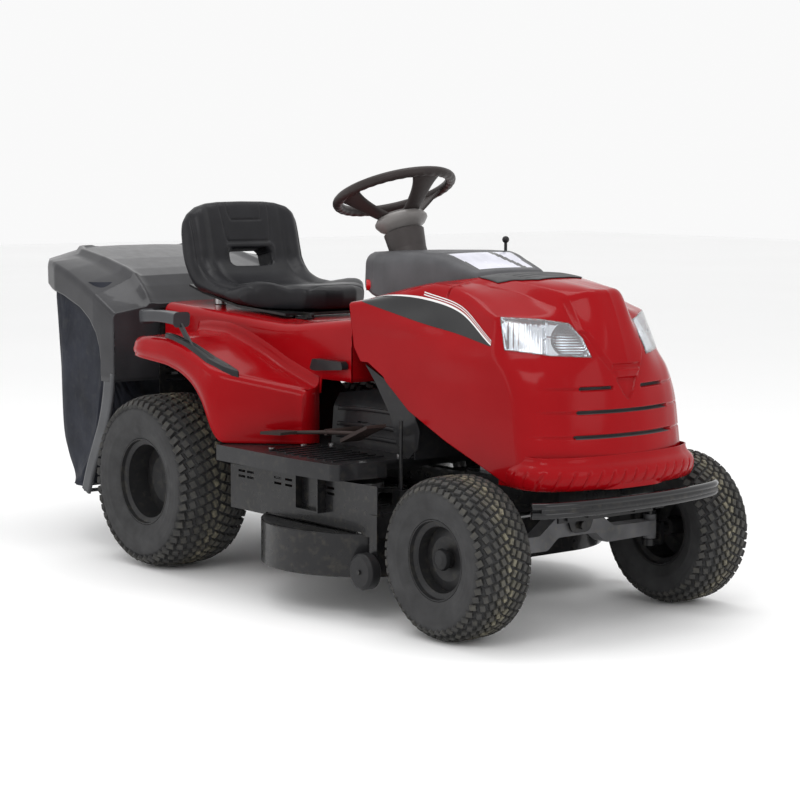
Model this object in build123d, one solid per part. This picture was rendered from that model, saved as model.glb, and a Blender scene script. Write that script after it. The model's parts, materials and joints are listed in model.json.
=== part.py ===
from build123d import *
import math
import os

os.makedirs("parts", exist_ok=True)

# A riding lawn mower with a rear grass collector. Millimetres: +X forward, +Y left, +Z up,
# the ground at Z 0 and the origin under the middle of the machine.

# Driving dimensions
LENGTH = 2180
WHEELBASE = 1190
BUMPER_REACH = 245
FRONT_X = LENGTH / 2 - BUMPER_REACH
REAR_X = FRONT_X - WHEELBASE
REAR_END = -LENGTH / 2
FRONT_TYRE_R = 190
FRONT_TYRE_W = 160
FRONT_TRACK = 722
FRONT_RIM_R = 94
REAR_TYRE_R = 233
REAR_TYRE_W = 220
REAR_TRACK = 716
REAR_RIM_R = 116
AXLE_PIVOT_Z = 232
KINGPIN_Y = 268
STEER_ARM = 95
SKIN = 3
SHAFT_CLEARANCE = 0.05
GAP = 0.3
RAIL_Z = (300, 345)
RAIL_Y = (125, 155)
FLOOR_Z = 372
BLADE_X = FRONT_X - 500
BLADE_Y = 245
BLADE_R = 238
DECK_R = 252
DECK_BOTTOM = 102
CRANK_X = 690
HINGE_PIN_R = 4
STUB_AXLE_R = 9.5
KINGPIN_R = 10
REAR_SHAFT_R = 10
STEERING_SHAFT_R = 8.98
COLUMN_BORE_R = 9.05
CRANK_R = 12.5
CRANK_PULLEY_R = 34
DECK_PULLEY_R = 55
PULLEY_Z = (272, 298)
HOOD_HINGE = (1050, 362)
SEAT_HINGE = (-62, 683)
LEVER_PIVOT = (-20, 480)
SCALP_WHEEL = (591, 428, 127)
KNOB_BASE = Vector(230, -118.7, 778)
KNOB_OUT = Vector(-80, -110, 0).normalized()
THROTTLE_PIVOT = (470, 850)
COLLECTOR_HINGE = (-603, 676)
WHEEL_TILT = 21.3
RIM_CENTRE = Vector(167, 0, 1013)
COLUMN_AXIS = Vector(-math.sin(math.radians(WHEEL_TILT)), 0, math.cos(math.radians(WHEEL_TILT)))

parts = {}


# ---- shared shapes ------------------------------------------------------------------

def outline(corners):
    """A closed wire through the corners. A corner's third number is its rounding radius."""
    edges = []
    ends = []
    count = len(corners)
    for i, corner in enumerate(corners):
        here = Vector(corner[0], corner[1])
        radius = corner[2] if len(corner) > 2 else 0
        if radius == 0:
            ends.append((here, here))
            continue
        before = (Vector(*corners[i - 1][:2]) - here).normalized()
        after = (Vector(*corners[(i + 1) % count][:2]) - here).normalized()
        half = math.radians(before.get_angle(after)) / 2
        start = here + before * (radius / math.tan(half))
        end = here + after * (radius / math.tan(half))
        centre = here + (before + after).normalized() * (radius / math.sin(half))
        middle = centre + (here - centre).normalized() * radius
        edges.append(ThreePointArc(start, middle, end))
        ends.append((start, end))
    for i in range(count):
        start = ends[i][1]
        end = ends[(i + 1) % count][0]
        if (end - start).length > 1e-6:
            edges.append(Line(start, end))
    return make_face(Wire(edges))


def inset_corners(corners, inset):
    """The same outline with every edge moved inwards, and each rounding kept concentric."""
    count = len(corners)
    area = sum(corners[i - 1][0] * corners[i][1] - corners[i][0] * corners[i - 1][1] for i in range(count))
    inward = 1 if area > 0 else -1
    moved = []
    for i, corner in enumerate(corners):
        here = Vector(corner[0], corner[1])
        before = (here - Vector(*corners[i - 1][:2])).normalized()
        after = (Vector(*corners[(i + 1) % count][:2]) - here).normalized()
        normals = [Vector(-run.Y, run.X) * inward for run in (before, after)]
        place = here + (normals[0] + normals[1]) * (inset / (1 + normals[0].dot(normals[1])))
        convex = (before.X * after.Y - before.Y * after.X) * inward > 0
        radius = corner[2] if len(corner) > 2 else 0
        if radius:
            radius = max(radius - inset if convex else radius + inset, 0)
        moved.append((place.X, place.Y, radius))
    return moved


def prism(corners, plane, depth, inset=0):
    if inset:
        corners = inset_corners(corners, inset)
    return extrude(plane * outline(corners), amount=depth)


def prism_x(corners, low, high, inset=0):
    """Corners are (y, z); the shape runs along X from low to high."""
    plane = Plane(origin=(low, 0, 0), x_dir=(0, 1, 0), z_dir=(1, 0, 0))
    return prism(corners, plane, high - low, inset)


def prism_y(corners, low, high, inset=0):
    """Corners are (x, z); the shape runs along Y from low to high."""
    plane = Plane(origin=(0, high, 0), x_dir=(1, 0, 0), z_dir=(0, -1, 0))
    return prism(corners, plane, high - low, inset)


def prism_z(corners, low, high, inset=0):
    """Corners are (x, y); the shape runs along Z from low to high."""
    return prism(corners, Plane.XY.offset(low), high - low, inset)


def both_sides(corners):
    """A plan outline given for +Y, closed with its mirror image."""
    back = [(c[0], -c[1], *c[2:]) for c in reversed(corners) if c[1] != 0]
    return list(corners) + back


def block(x, y, z):
    """A box between two X, two Y and two Z values."""
    middle = Pos((x[0] + x[1]) / 2, (y[0] + y[1]) / 2, (z[0] + z[1]) / 2)
    return middle * Box(x[1] - x[0], y[1] - y[0], z[1] - z[0])


def rod(start, end, radius):
    run = Vector(*end) - Vector(*start)
    plane = Plane(origin=start, z_dir=run.normalized())
    return extrude(plane * Circle(radius), amount=run.length)


def cone(start, end, radius_start, radius_end):
    run = Vector(*end) - Vector(*start)
    plane = Plane(origin=start, z_dir=run.normalized())
    top = plane.offset(run.length)
    return loft([plane * Circle(radius_start), top * Circle(radius_end)])


def mirrored(shape):
    return mirror(shape, about=Plane.XZ)


def mirror_pair(shape):
    return shape + mirrored(shape)


def spun(corners, origin):
    """A turned part: corners are (y, radius) about an axle along Y through origin."""
    plane = Plane(origin=origin, x_dir=(0, 1, 0), z_dir=(1, 0, 0))
    return revolve(plane * outline(corners), axis=Axis(origin, (0, 1, 0)))


# ---- wheels -------------------------------------------------------------------------

def tyre_corners(radius, width, bead, wall):
    side = width / 2 - wall
    tread = radius - wall
    foot = bead + (wall if wall else 0)
    return [
        (-side * 0.84, foot),
        (-side, bead + (radius - bead) * 0.42, 26),
        (-side * 0.93, tread - 10, 24),
        (-side * 0.5, tread, 90),
        (side * 0.5, tread, 90),
        (side * 0.93, tread - 10, 24),
        (side, bead + (radius - bead) * 0.42, 26),
        (side * 0.84, foot),
    ]


def tyre(radius, width, bead, centre):
    """A turf tyre: an inflated carcass, open to the rim between its beads."""
    wall = 9
    outside = spun(tyre_corners(radius, width, bead, 0), centre)
    inside = spun(tyre_corners(radius, width, bead, wall), centre)
    half = width * 0.42 - 11
    throat = spun([(-half, bead - 5), (half, bead - 5), (half, bead + 14), (-half, bead + 14)], centre)
    return outside - inside - throat


def rim(radius, width, centre, out, bore, dish, hub_out, hub_in):
    """A pressed rim. out is +1 or -1, the side of the wheel that faces away from the machine."""
    half = width * 0.42 - 0.4
    seat = radius - GAP
    barrel = radius - 14
    disc = out * (half - dish)
    ring = [
        (-half, seat), (-half, seat - 3), (-half + 10, seat - 5), (-half + 16, barrel - 3),
        (half - 16, barrel - 3), (half - 10, seat - 5), (half, seat - 3), (half, seat),
        (half - 8, seat), (half - 14, barrel), (-half + 14, barrel), (-half + 8, seat),
    ]
    plate = [
        (disc - 2, bore + 6), (disc + 2, bore + 6),
        (disc + 2 + out * 8, radius * 0.55), (disc + 2, barrel - 2), (disc - 2, barrel - 2),
        (disc - 2 + out * 8, radius * 0.55),
    ]
    hub = [(hub_in, bore), (hub_out, bore), (hub_out, bore + 12), (hub_in, bore + 12)]
    return spun(ring, centre) + spun(plate, centre) + spun(hub, centre)


def front_wheel(side, out):
    centre = (FRONT_X, out * FRONT_TRACK / 2, FRONT_TYRE_R)
    parts["front_tyre_" + side] = tyre(FRONT_TYRE_R, FRONT_TYRE_W, FRONT_RIM_R, centre)
    bore = STUB_AXLE_R + SHAFT_CLEARANCE
    parts["front_rim_" + side] = rim(FRONT_RIM_R, FRONT_TYRE_W, centre, out, bore, 46, out * 42, out * -34)
    cap = spun([(out * 43, 0.01), (out * 43, 26), (out * 52, 23, 4), (out * 56, 12, 4), (out * 56, 0.01)],
               centre)
    socket = spun([(out * 42, 0.005), (out * 42, 11), (out * 51, 11), (out * 51, 0.005)], centre)
    parts["hub_cap_" + side] = cap - socket


def rear_wheel(side, out):
    centre = (REAR_X, out * REAR_TRACK / 2, REAR_TYRE_R)
    parts["rear_tyre_" + side] = tyre(REAR_TYRE_R, REAR_TYRE_W, REAR_RIM_R, centre)
    wheel = rim(REAR_RIM_R, REAR_TYRE_W, centre, out, 10, 80, out * 20, out * -60)
    tip = out * (REAR_TRACK / 2 + 24)
    shaft = rod((REAR_X, out * 150, REAR_TYRE_R), (REAR_X, tip, REAR_TYRE_R), REAR_SHAFT_R)
    parts["rear_rim_" + side] = wheel + shaft


# ---- chassis ------------------------------------------------------------------------

def frame():
    """Two rails with cross members, engine plate, hood ears, axle bracket and hitch, welded."""
    rail = block((-588, 958), RAIL_Y, RAIL_Z) - block((-600, 970), (RAIL_Y[0] + 3, RAIL_Y[1] - 3),
                                                      (303, 342))
    shape = mirror_pair(rail)
    top = RAIL_Z[1]
    for x in (-500, 30, 560, 930):
        shape += block((x, x + 28), (-RAIL_Y[0] - 1, RAIL_Y[0] + 1), RAIL_Z)
    plate = block((640, 900), (-RAIL_Y[1], RAIL_Y[1]), (top, top + 6))
    shape += plate - rod((CRANK_X, 0, top - 10), (CRANK_X, 0, top + 10), 30)
    shape += block((958, 964), (-RAIL_Y[1], RAIL_Y[1]), (262, top))
    x, z = HOOD_HINGE
    ear = prism_y([(930, top - 1), (955, top - 1), (x + 9, z - 9, 6), (x + 9, z + 9, 6),
                   (x - 8, z + 9, 6), (930, 356)], 40, 46)
    pin = rod((x, 24, z), (x, 46, z), HINGE_PIN_R)
    return shape + mirror_pair(ear + pin) + axle_bracket() + hitch_tongue()


def axle_bracket():
    """Carries the fore-and-aft pin that the front axle rocks on."""
    shape = block((806, 884), (-RAIL_Y[1], RAIL_Y[1]), (294, RAIL_Z[0] + 1))
    cheek = [(-62, 294), (-28, 214, 20), (28, 214, 20), (62, 294)]
    for x in (812, 873):
        shape += prism_x(cheek, x, x + 6)
    return shape + rod((812, 0, AXLE_PIVOT_Z), (890, 0, AXLE_PIVOT_Z), 10)


def hitch_tongue():
    """A tongue under the rear of the frame, with one upright hole for a trailer pin."""
    shape = prism_z(both_sides([(-472, 60), (-590, 60), (-660, 22, 20)]), 291, RAIL_Z[0] + 1)
    return shape - rod((-638, 0, 280), (-638, 0, 310), 8)


def front_bumper():
    """A bowed tube with a flat apron under it, on two arms from the front plate."""
    ends = 285
    front = LENGTH / 2 - 11
    path = Spline((1040, -ends, 314), (1068, -170, 314), (front, 0, 314), (1068, 170, 314),
                  (1040, ends, 314))
    tube = sweep(Plane(origin=path @ 0, z_dir=path % 0) * Circle(11), path=path)
    apron = both_sides([(1000, ends - 30), (1036, ends - 28), (1062, 166, 60), (front, 60, 60)])
    plate = prism_z(apron, 300, 306)
    arm = block((964.3, 1030), (96, 124), (282, 301)) + block((964.3, 970), (88, 132), (266, 301))
    return tube + plate + mirror_pair(arm)


def rear_plate():
    """The upright plate behind the gearbox: it carries the collector and has cooling louvres."""
    shape = block((-596, -590), (-235, 235), (250, 680))
    shape -= block((-600, -580), (-122, 122), (372, 628))
    shape -= block((-600, -580), (-63, 63), (290, 302))
    for z in range(470, 560, 18):
        for side in (-1, 1):
            shape -= block((-600, -580), tuple(sorted((side * 150, side * 215))), (z, z + 7))
    x, z = COLLECTOR_HINGE
    ear = prism_y([(-592, z - 20), (-592, z + 3), (x, z + 5.5), (x - 2, z - 5)], 180, 186)
    ear += rod((x, 180, z), (x, 186, z), 5.5) + rod((x, 150, z), (x, 186, z), HINGE_PIN_R)
    return shape + mirror_pair(ear)


# ---- body panels --------------------------------------------------------------------

PEDESTAL = [(-565, 540), (-565, 700, 12), (-235, 683, 300), (-25, 671, 200), (297, 702), (297, 540)]
FENDER_TOP = [(-385, 628, 14), (-235, 634, 90), (-105, 604, 110), (20, 556, 120), (165, 516, 30)]
ARCH = [(165, FLOOR_Z + GAP), (2, FLOOR_Z + GAP), (-30, 462, 60), (-95, 522, 60), (-215, 558, 120),
        (-385, 572)]
FENDER_PLAN = [(-385, 460, 25), (-14, 460, 90), (165, 284)]


def rear_body():
    """Seat pedestal and both rear fenders, one thin moulding open underneath."""
    pedestal = prism_y(PEDESTAL, -240, 240)
    fenders = prism_y(FENDER_TOP + ARCH, -460, 460) & prism_z(both_sides(FENDER_PLAN), 300, 700)
    deep = [(c[0], c[1] - 250) for c in ((165, 300), (-385, 300))]
    inner = 240 - SKIN
    cavity = prism_y(PEDESTAL, -inner, inner, inset=SKIN) + block((-562, 294), (-inner, inner), (500, 600))
    under = prism_y(FENDER_TOP + deep, -470, 470, inset=SKIN)
    cavity += under & prism_z(both_sides(FENDER_PLAN), 60, 700, inset=SKIN)
    shape = pedestal + fenders - cavity
    shape -= block((-330, -130), (-100, 100), (600, 720))
    shape -= block((-570, -555), (-118, 118), (530, 626))
    shape -= rod(RIM_CENTRE - COLUMN_AXIS * 310, RIM_CENTRE - COLUMN_AXIS * 410, 14)
    x, z = LEVER_PIVOT
    return shape - lever_slot() + rod((x, -459, z), (x, -412, z), 6)


def lever_slot():
    return block((-230, -34), (-430, -418), (500, 680))


def footboard():
    """One tray for both feet: floor, rolled edge, tread ribs and the channels it rests on."""
    plan = both_sides([(12, 456), (330, 462, 500), (500, 450, 24), (512, 330, 20), (512, 60)])
    floor = prism_z(plan, FLOOR_Z - 6, FLOOR_Z) - block((380, 470), (-45, 45), (300, 400))
    edge = prism_z(plan, FLOOR_Z - 40, FLOOR_Z) - prism_z(plan, FLOOR_Z - 50, FLOOR_Z + 1, inset=4)
    edge -= block((0, 520), (-300, 300), (300, FLOOR_Z - 7))
    shape = floor + edge
    for x in (110, 462):
        channel = block((x, x + 26), (-440, 440), (RAIL_Z[1] + GAP, FLOOR_Z - 5))
        shape += channel - block((x + SKIN, x + 26 - SKIN), (-445, 445), (RAIL_Z[1], FLOOR_Z - 9))
    for i in range(9):
        x = 190 + i * 32
        shape += mirror_pair(block((x, x + 9), (262, 420), (FLOOR_Z - 1, FLOOR_Z + 3)))
    return shape


def tunnel_cover():
    """The raised cover over the gearbox linkage, between the feet."""
    side = [(165.5, FLOOR_Z + GAP), (165.5, 500), (330, 524, 60), (542, 536), (542, FLOOR_Z + GAP)]
    section = [(-204, FLOOR_Z), (-196, 470, 30), (-150, 545, 30), (150, 545, 30), (196, 470, 30),
               (204, FLOOR_Z)]
    outside = prism_y(side, -210, 210) & prism_x(section, 160, 550)
    deep = [(160, 300), (160, 500), (330, 524, 60), (550, 536), (550, 300)]
    inside = prism_y(deep, -220, 220, inset=SKIN) & prism_x(section[1:-1] + [(204, 250), (-204, 250)],
                                                            150, 560, inset=SKIN)
    shape = outside - inside
    shape -= rod(RIM_CENTRE - COLUMN_AXIS * 420, RIM_CENTRE - COLUMN_AXIS * 600, 22)
    return shape - block((270, 310), (-215, -150), (402, 438)) - block((300, 340), (150, 215), (402, 438))


def leg_shield():
    """Closes the engine bay off from the feet: a cross wall with a side panel at each end."""
    side = [(352, 590), (436, 556, 60), (538, 486, 40), (564, 446, 30), (556, 400, 20),
            (522, FLOOR_Z + GAP), (486, FLOOR_Z + GAP), (452, 470, 80), (392, 548, 40)]
    shape = mirror_pair(prism_y(side, 236, 240))
    wall = block((543, 547), (-240, 240), (FLOOR_Z + GAP, 478))
    centre = block((543, 547), (-206, 206), (470, 560))
    return shape + wall + centre


HOOD_SIDE = [(240, 300), (240, 728), (298, 740), (585, 806, 120), (700, 817, 500), (880, 802, 200),
             (955, 786, 60), (1026, 603, 160), (1046, 450, 300), (1056, 300)]
HOOD_SECTION = [(-253, 290), (-253, 694, 24), (-196, 806, 55), (0, 826, 900), (196, 806, 55),
                (253, 694, 24), (253, 290)]
HOOD_PLAN = [(230, 253), (880, 253, 200), (985, 220, 60), (1026, 130, 130), (1056, 0, 160)]
HOOD_TRIM = [(298, 900), (298, 738), (318, 632), (347, 596), (430, 568), (539, 492), (677, 433),
             (901, 352), (1100, 352), (1100, 900)]
LAMP_LINE = [(852, 250), (967, 95), (1150, -150), (1150, 400), (852, 400)]


def hood_volume(inset):
    plan = both_sides(HOOD_PLAN)
    shape = prism_y(HOOD_SIDE, -300, 300, inset) & prism_x(HOOD_SECTION, 200, 1100, inset)
    shape = shape & prism_z(plan, 250, 900, inset)
    corner = prism_z(LAMP_LINE, 655 - inset, 900)
    along = Vector(967 - 852, 95 - 250, 0).normalized()
    corner = Pos(along.Y * inset, -along.X * inset, 0) * corner
    return shape - corner - mirrored(corner)


LAMP_FACE = [(-30, 668), (120, 662), (154, 652), (150, 690), (126, 722), (0, 742), (-26, 738)]


def lamp_plane(sideways):
    """An upright plane along the corner face of the hood's right side, moved outwards."""
    along = Vector(967 - 852, 250 - 95, 0).normalized()
    outward = Vector(along.Y, -along.X, 0)
    return Plane(origin=Vector(866, -236, 0) + outward * sideways, x_dir=along, z_dir=outward)


def lamp_solid(low, high, grow):
    return prism(LAMP_FACE, lamp_plane(low), high - low, -grow)


def lip():
    """The flared lower edge of the nose."""
    plan = both_sides([(905, 251), (966, 254), (990, 270, 14), (1044, 196, 60), (1068, 100, 90),
                       (1071, 0, 300)])
    return prism_z(plan, 350, 392) - prism_z(plan, 340, 389, inset=SKIN)


def hood():
    """A thin moulded bonnet that swings forward about the hinge inside its lower lip."""
    shape = (hood_volume(0) - hood_volume(SKIN)) & prism_y(HOOD_TRIM, -300, 300)
    dash_cut = both_sides([(200, 238), (300, 232), (585, 186, 60), (638, 120, 40)])
    shape -= prism_z(dash_cut, 600, 900)
    lamp_cut = lamp_solid(-60, 60, 0.5)
    shape -= lamp_cut + mirrored(lamp_cut)
    for z, reach in ((576, 140), (524, 146), (464, 156)):
        shape -= block((960, 1080), (-reach, -40), (z, z + 7)) + block((960, 1080), (40, reach), (z, z + 7))
    shape -= block((905, 1064), (-300, 300), (340, 352))
    x, z = HOOD_HINGE
    shape -= mirror_pair(block((x - 20, x + 12), (22, 49), (z - 17, z + 18)))
    brim = lip() - hood_volume(SKIN)
    lug = prism_y([(x - 9, z - 9, 7), (x + 8, z - 9, 5), (x + 8, z + 12), (1046, 430), (1032, 430),
                   (x - 9, z + 9, 4)], 28, 36)
    lug -= rod((x, 20, z), (x, 50, z), HINGE_PIN_R + SHAFT_CLEARANCE)
    return shape + brim + mirror_pair(lug)


def headlamp():
    """A clear cover lying flush in the right corner of the nose."""
    return (hood_volume(0.1) - hood_volume(4)) & lamp_solid(-60, 60, 0)


def lamp_reflector():
    bowl = lamp_solid(-34, -7, -9) - lamp_solid(-31, 0, -12)
    return bowl & hood_volume(8)


def hood_vent():
    """The grille panel let into the top of the bonnet ahead of the dash."""
    plan = both_sides([(642, 130), (718, 126, 40), (796, 70, 30)])
    shape = (hood_volume(-5) - hood_volume(-GAP)) & prism_z(plan, 700, 900)
    for i in range(5):
        x = 660 + i * 26
        shape -= block((x, x + 9), (-54, 54), (700, 900))
    return shape


def dash_volume(inset):
    side = [(300, 574), (300, 742), (205, 766, 20), (158, 790, 18), (152, 853, 12), (300, 868, 60),
            (496, 872, 40), (622, 830, 8), (634, 800), (600, 752), (458, 752), (458, 574)]
    plan = both_sides([(152, 62, 46), (262, 142, 50), (520, 142, 60), (636, 108, 30)])
    return prism_y(side, -200, 200, inset) & prism_z(plan, 500, 900, inset)


def dash_skirt(inset):
    side = [(300, 574), (300, 735), (560, 790), (632, 800), (600, 752), (458, 752), (458, 574)]
    plan = both_sides([(300, 230), (575, 180, 40), (634, 110, 20)])
    return prism_y(side, -250, 250, inset) & prism_z(plan, 500, 900, inset) & hood_volume(7 + inset)


def dash_cowl():
    """Instrument binnacle round the steering column, with a flange under the bonnet's edge."""
    cavity = dash_volume(SKIN) + dash_skirt(SKIN) + block((303, 455), (-139, 139), (560, 620))
    shape = dash_volume(0) + dash_skirt(0) - cavity
    shape -= rod(RIM_CENTRE - COLUMN_AXIS * 120, RIM_CENTRE - COLUMN_AXIS * 480, 53)
    shape -= window_cut(0.4)
    shape -= rod(KNOB_BASE - KNOB_OUT * 20, KNOB_BASE + KNOB_OUT * 20, 6 + SHAFT_CLEARANCE)
    x, z = THROTTLE_PIVOT
    shape -= block((x - 18, x + 18), (112, 124), (z + 10, z + 30))
    return shape + rod((x, 108, z), (x, 141, z), 3)


def window_cut(grow):
    plan = both_sides([(500, 100), (608, 78)])
    return prism_z(plan, 780, 900, inset=-grow)


def dash_window():
    """The pale sloping panel at the front of the binnacle."""
    panel = (dash_volume(0.1) - dash_volume(SKIN)) & window_cut(0)
    return panel & block((400, 700), (-200, 200), (818, 900))


def steering_column():
    """The tapered sleeve that the steering shaft turns in."""
    low = RIM_CENTRE - COLUMN_AXIS * 210
    mid = RIM_CENTRE - COLUMN_AXIS * 160
    high = RIM_CENTRE - COLUMN_AXIS * 112
    shape = cone(low, mid, 50, 48) + cone(mid, high, 48, 53)
    return shape - rod(RIM_CENTRE - COLUMN_AXIS * 250, RIM_CENTRE - COLUMN_AXIS * 100, COLUMN_BORE_R)


def steering_wheel():
    """Rim, two broad spokes and a deep dished hub."""
    plane = Plane(origin=RIM_CENTRE, x_dir=(0, 1, 0), z_dir=COLUMN_AXIS)
    shape = plane * Torus(150, 14)
    profile = Plane(origin=RIM_CENTRE, x_dir=(0, 1, 0), z_dir=Vector(0, 1, 0).cross(COLUMN_AXIS))
    dish = outline([(9, -110), (46, -110, 6), (70, -80, 10), (60, -60, 8), (9, -60)])
    hub = revolve(profile * dish, axis=Axis(RIM_CENTRE, COLUMN_AXIS))
    for angle in (-8, 90, 188):
        turn = math.radians(angle)
        out = plane.x_dir * math.cos(turn) + plane.y_dir * math.sin(turn)
        inner = RIM_CENTRE - COLUMN_AXIS * 76 + out * 50
        outer = RIM_CENTRE + out * 144
        run = (outer - inner).normalized()
        across = COLUMN_AXIS.cross(out)
        section = Plane(origin=inner, x_dir=across, z_dir=run)
        shape += extrude(section * Rectangle(46, 9), amount=(outer - inner).length)
    return shape + hub


def steering_shaft():
    """Runs down from the wheel to the pinion that swings the front wheels."""
    shaft = rod(RIM_CENTRE - COLUMN_AXIS * 752, RIM_CENTRE - COLUMN_AXIS * 61, STEERING_SHAFT_R)
    return shaft + rod(RIM_CENTRE - COLUMN_AXIS * 752, RIM_CENTRE - COLUMN_AXIS * 728, 17)


# ---- power and drive ----------------------------------------------------------------

def engine_block():
    """A single-cylinder engine with an upright crankshaft, on the engine plate."""
    base = RAIL_Z[1] + 6 + GAP
    shape = block((655, 875), (-125, 125), (base, base + 110))
    for i in range(7):
        z = base + 12 + i * 14
        shape += block((870, 960), (-70, 70), (z, z + 6))
    shape += block((870, 950), (-52, 52), (base + 8, base + 104))
    shape += block((675, 800), (-185, -125), (base + 40, base + 150))
    return shape - rod((CRANK_X, 0, 300), (CRANK_X, 0, base + 60), CRANK_R + SHAFT_CLEARANCE)


def engine_shroud():
    """The blower housing over the flywheel."""
    low = RAIL_Z[1] + 6 + 110 + 2 * GAP
    centre = (CRANK_X, 0, low)
    shoulder = (CRANK_X, 0, low + 120)
    shape = rod(centre, shoulder, 118) + cone(shoulder, (CRANK_X, 0, low + 160), 118, 84)
    shape -= rod(centre, (CRANK_X, 0, low + 116), 114)
    for i in range(12):
        turn = Rot(0, 0, i * 30)
        shape -= Pos(CRANK_X, 0, low + 150) * turn * Pos(50, 0, 0) * Box(48, 8, 40)
    return shape


def crank_pulley():
    """The crankshaft with the pulley that drives the cutter deck."""
    low, high = PULLEY_Z
    pulley = rod((CRANK_X, 0, low), (CRANK_X, 0, high), CRANK_PULLEY_R)
    return pulley + rod((CRANK_X, 0, high), (CRANK_X, 0, 405), CRANK_R)


def muffler():
    shape = rod((900, 100, 505), (900, 232, 505), 34)
    pipe = rod((900, 190, 505), (900, 190, 425), 11) + rod((900, 190, 425), (958, 186, 400), 11)
    return shape + pipe - rod((900, 105, 505), (900, 227, 505), 31)


def fuel_tank():
    shape = prism_y([(470, 562), (566, 562, 15), (566, 738, 15), (470, 738, 15)], -170, 170)
    shape -= prism_y([(473, 565), (563, 565, 13), (563, 735, 13), (473, 735, 13)], -167, 167)
    return shape + rod((518, -110, 737), (518, -110, 748), 24)


def battery():
    shape = block((-300, -160), (-95, 95), (582, 650))
    for y in (-70, 70):
        shape += rod((-180, y, 649), (-180, y, 662), 7)
    return shape


def transaxle():
    """Gearbox and final drive under the seat; its tubes carry the rear axle shafts."""
    centre = REAR_TYRE_R
    shape = block((REAR_X - 80, REAR_X + 75), (-95, 95), (centre - 62, centre + 50))
    shape += rod((REAR_X, -238, centre), (REAR_X, 238, centre), 30)
    shape += rod((REAR_X + 45, 0, centre + 40), (REAR_X + 45, 0, centre + 62), 40)
    for y in (-140, 130):
        shape += block((REAR_X - 26, REAR_X + 26), (y, y + 10), (centre, RAIL_Z[0] - GAP))
    return shape - rod((REAR_X, -300, centre), (REAR_X, 300, centre), REAR_SHAFT_R + SHAFT_CLEARANCE)


def discharge_chute():
    """The duct that carries cut grass from the deck, over the gearbox, to the collector."""
    side = [(-9, 150), (-9, 250), (-190, 470, 60), (-330, 566, 80), (-589.5, 620), (-589.5, 382),
            (-380, 352, 60), (-240, 318, 60), (-100, 190, 60)]
    duct = prism_y(side, -112, 112)
    inner = [(0, 154), (0, 236), (-188, 464, 60), (-330, 562, 80), (-610, 616), (-610, 386),
             (-380, 356, 60), (-240, 322, 60), (-98, 194, 60)]
    return duct - prism_y(inner, -109, 109)


# ---- front axle and steering --------------------------------------------------------

def front_axle():
    """A rocking beam with a kingpin sleeve at each end."""
    half = [(58, 262, 20), (122, 216, 20), (KINGPIN_Y, 214), (KINGPIN_Y, 180), (96, 178, 20), (62, 206, 20)]
    beam = half + [(-c[0], *c[1:]) for c in reversed(half)]
    shape = prism_x(beam, 824, 866)
    for side in (-1, 1):
        shape += rod((FRONT_X, side * KINGPIN_Y, 168), (FRONT_X, side * KINGPIN_Y, 228), 16)
    for side in (-1, 1):
        shape -= rod((FRONT_X, side * KINGPIN_Y, 150), (FRONT_X, side * KINGPIN_Y, 250),
                     KINGPIN_R + SHAFT_CLEARANCE)
    return shape - rod((800, 0, AXLE_PIVOT_Z), (900, 0, AXLE_PIVOT_Z), KINGPIN_R + SHAFT_CLEARANCE)


def knuckle(side):
    """Kingpin, stub axle and steering arm of one front wheel."""
    y = side * KINGPIN_Y
    shape = rod((FRONT_X, y, 150), (FRONT_X, y, 246), KINGPIN_R)
    shape += rod((FRONT_X, y, 150), (FRONT_X, y, 166), 17)
    web = tuple(sorted((y, side * 300)))
    shape += block((FRONT_X - 14, FRONT_X + 14), web, (150, 166))
    post = tuple(sorted((side * 290, side * 302)))
    shape += block((FRONT_X - 16, FRONT_X + 16), post, (150, 206))
    shape += rod((FRONT_X, side * 301, FRONT_TYRE_R), (FRONT_X, side * 411, FRONT_TYRE_R), STUB_AXLE_R)
    arm = prism_z([(FRONT_X + 14, y - 12, 8), (FRONT_X + 14, y + 12, 8),
                   (FRONT_X - STEER_ARM - 17, y + 12, 8), (FRONT_X - STEER_ARM - 17, y - 12, 8)], 229,
                  238)
    wide = prism_z([(FRONT_X - STEER_ARM - 20, y - side * 20, 10),
                    (FRONT_X - STEER_ARM + 20, y - side * 20, 10),
                    (FRONT_X - STEER_ARM + 20, y + side * 11, 6),
                    (FRONT_X - STEER_ARM - 20, y + side * 11, 6)], 229, 238)
    eye_x, eye_y = tie_rod_end(side)
    return shape + arm + wide - rod((eye_x, eye_y, 220), (eye_x, eye_y, 245), 12)


def tie_rod_end(side):
    return FRONT_X - STEER_ARM + 2, side * (KINGPIN_Y - 4)


def tie_rod():
    """Joins the two steering arms behind the axle."""
    x, y = tie_rod_end(1)
    shape = rod((x, -y, 247), (x, y, 247), 7)
    for side in (-1, 1):
        shape += rod((x, side * y, 238.5), (x, side * y, 256), 11)
        shape += rod((x, side * y, 229), (x, side * y, 240), 4)
    return shape


# ---- cutter deck --------------------------------------------------------------------

def deck_rings(inset, low, high):
    radius = DECK_R - inset
    shape = block((BLADE_X - radius, BLADE_X + radius), (-BLADE_Y, BLADE_Y), (low, high))
    for side in (-1, 1):
        shape += rod((BLADE_X, side * BLADE_Y, low), (BLADE_X, side * BLADE_Y, high), radius)
    return shape


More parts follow.
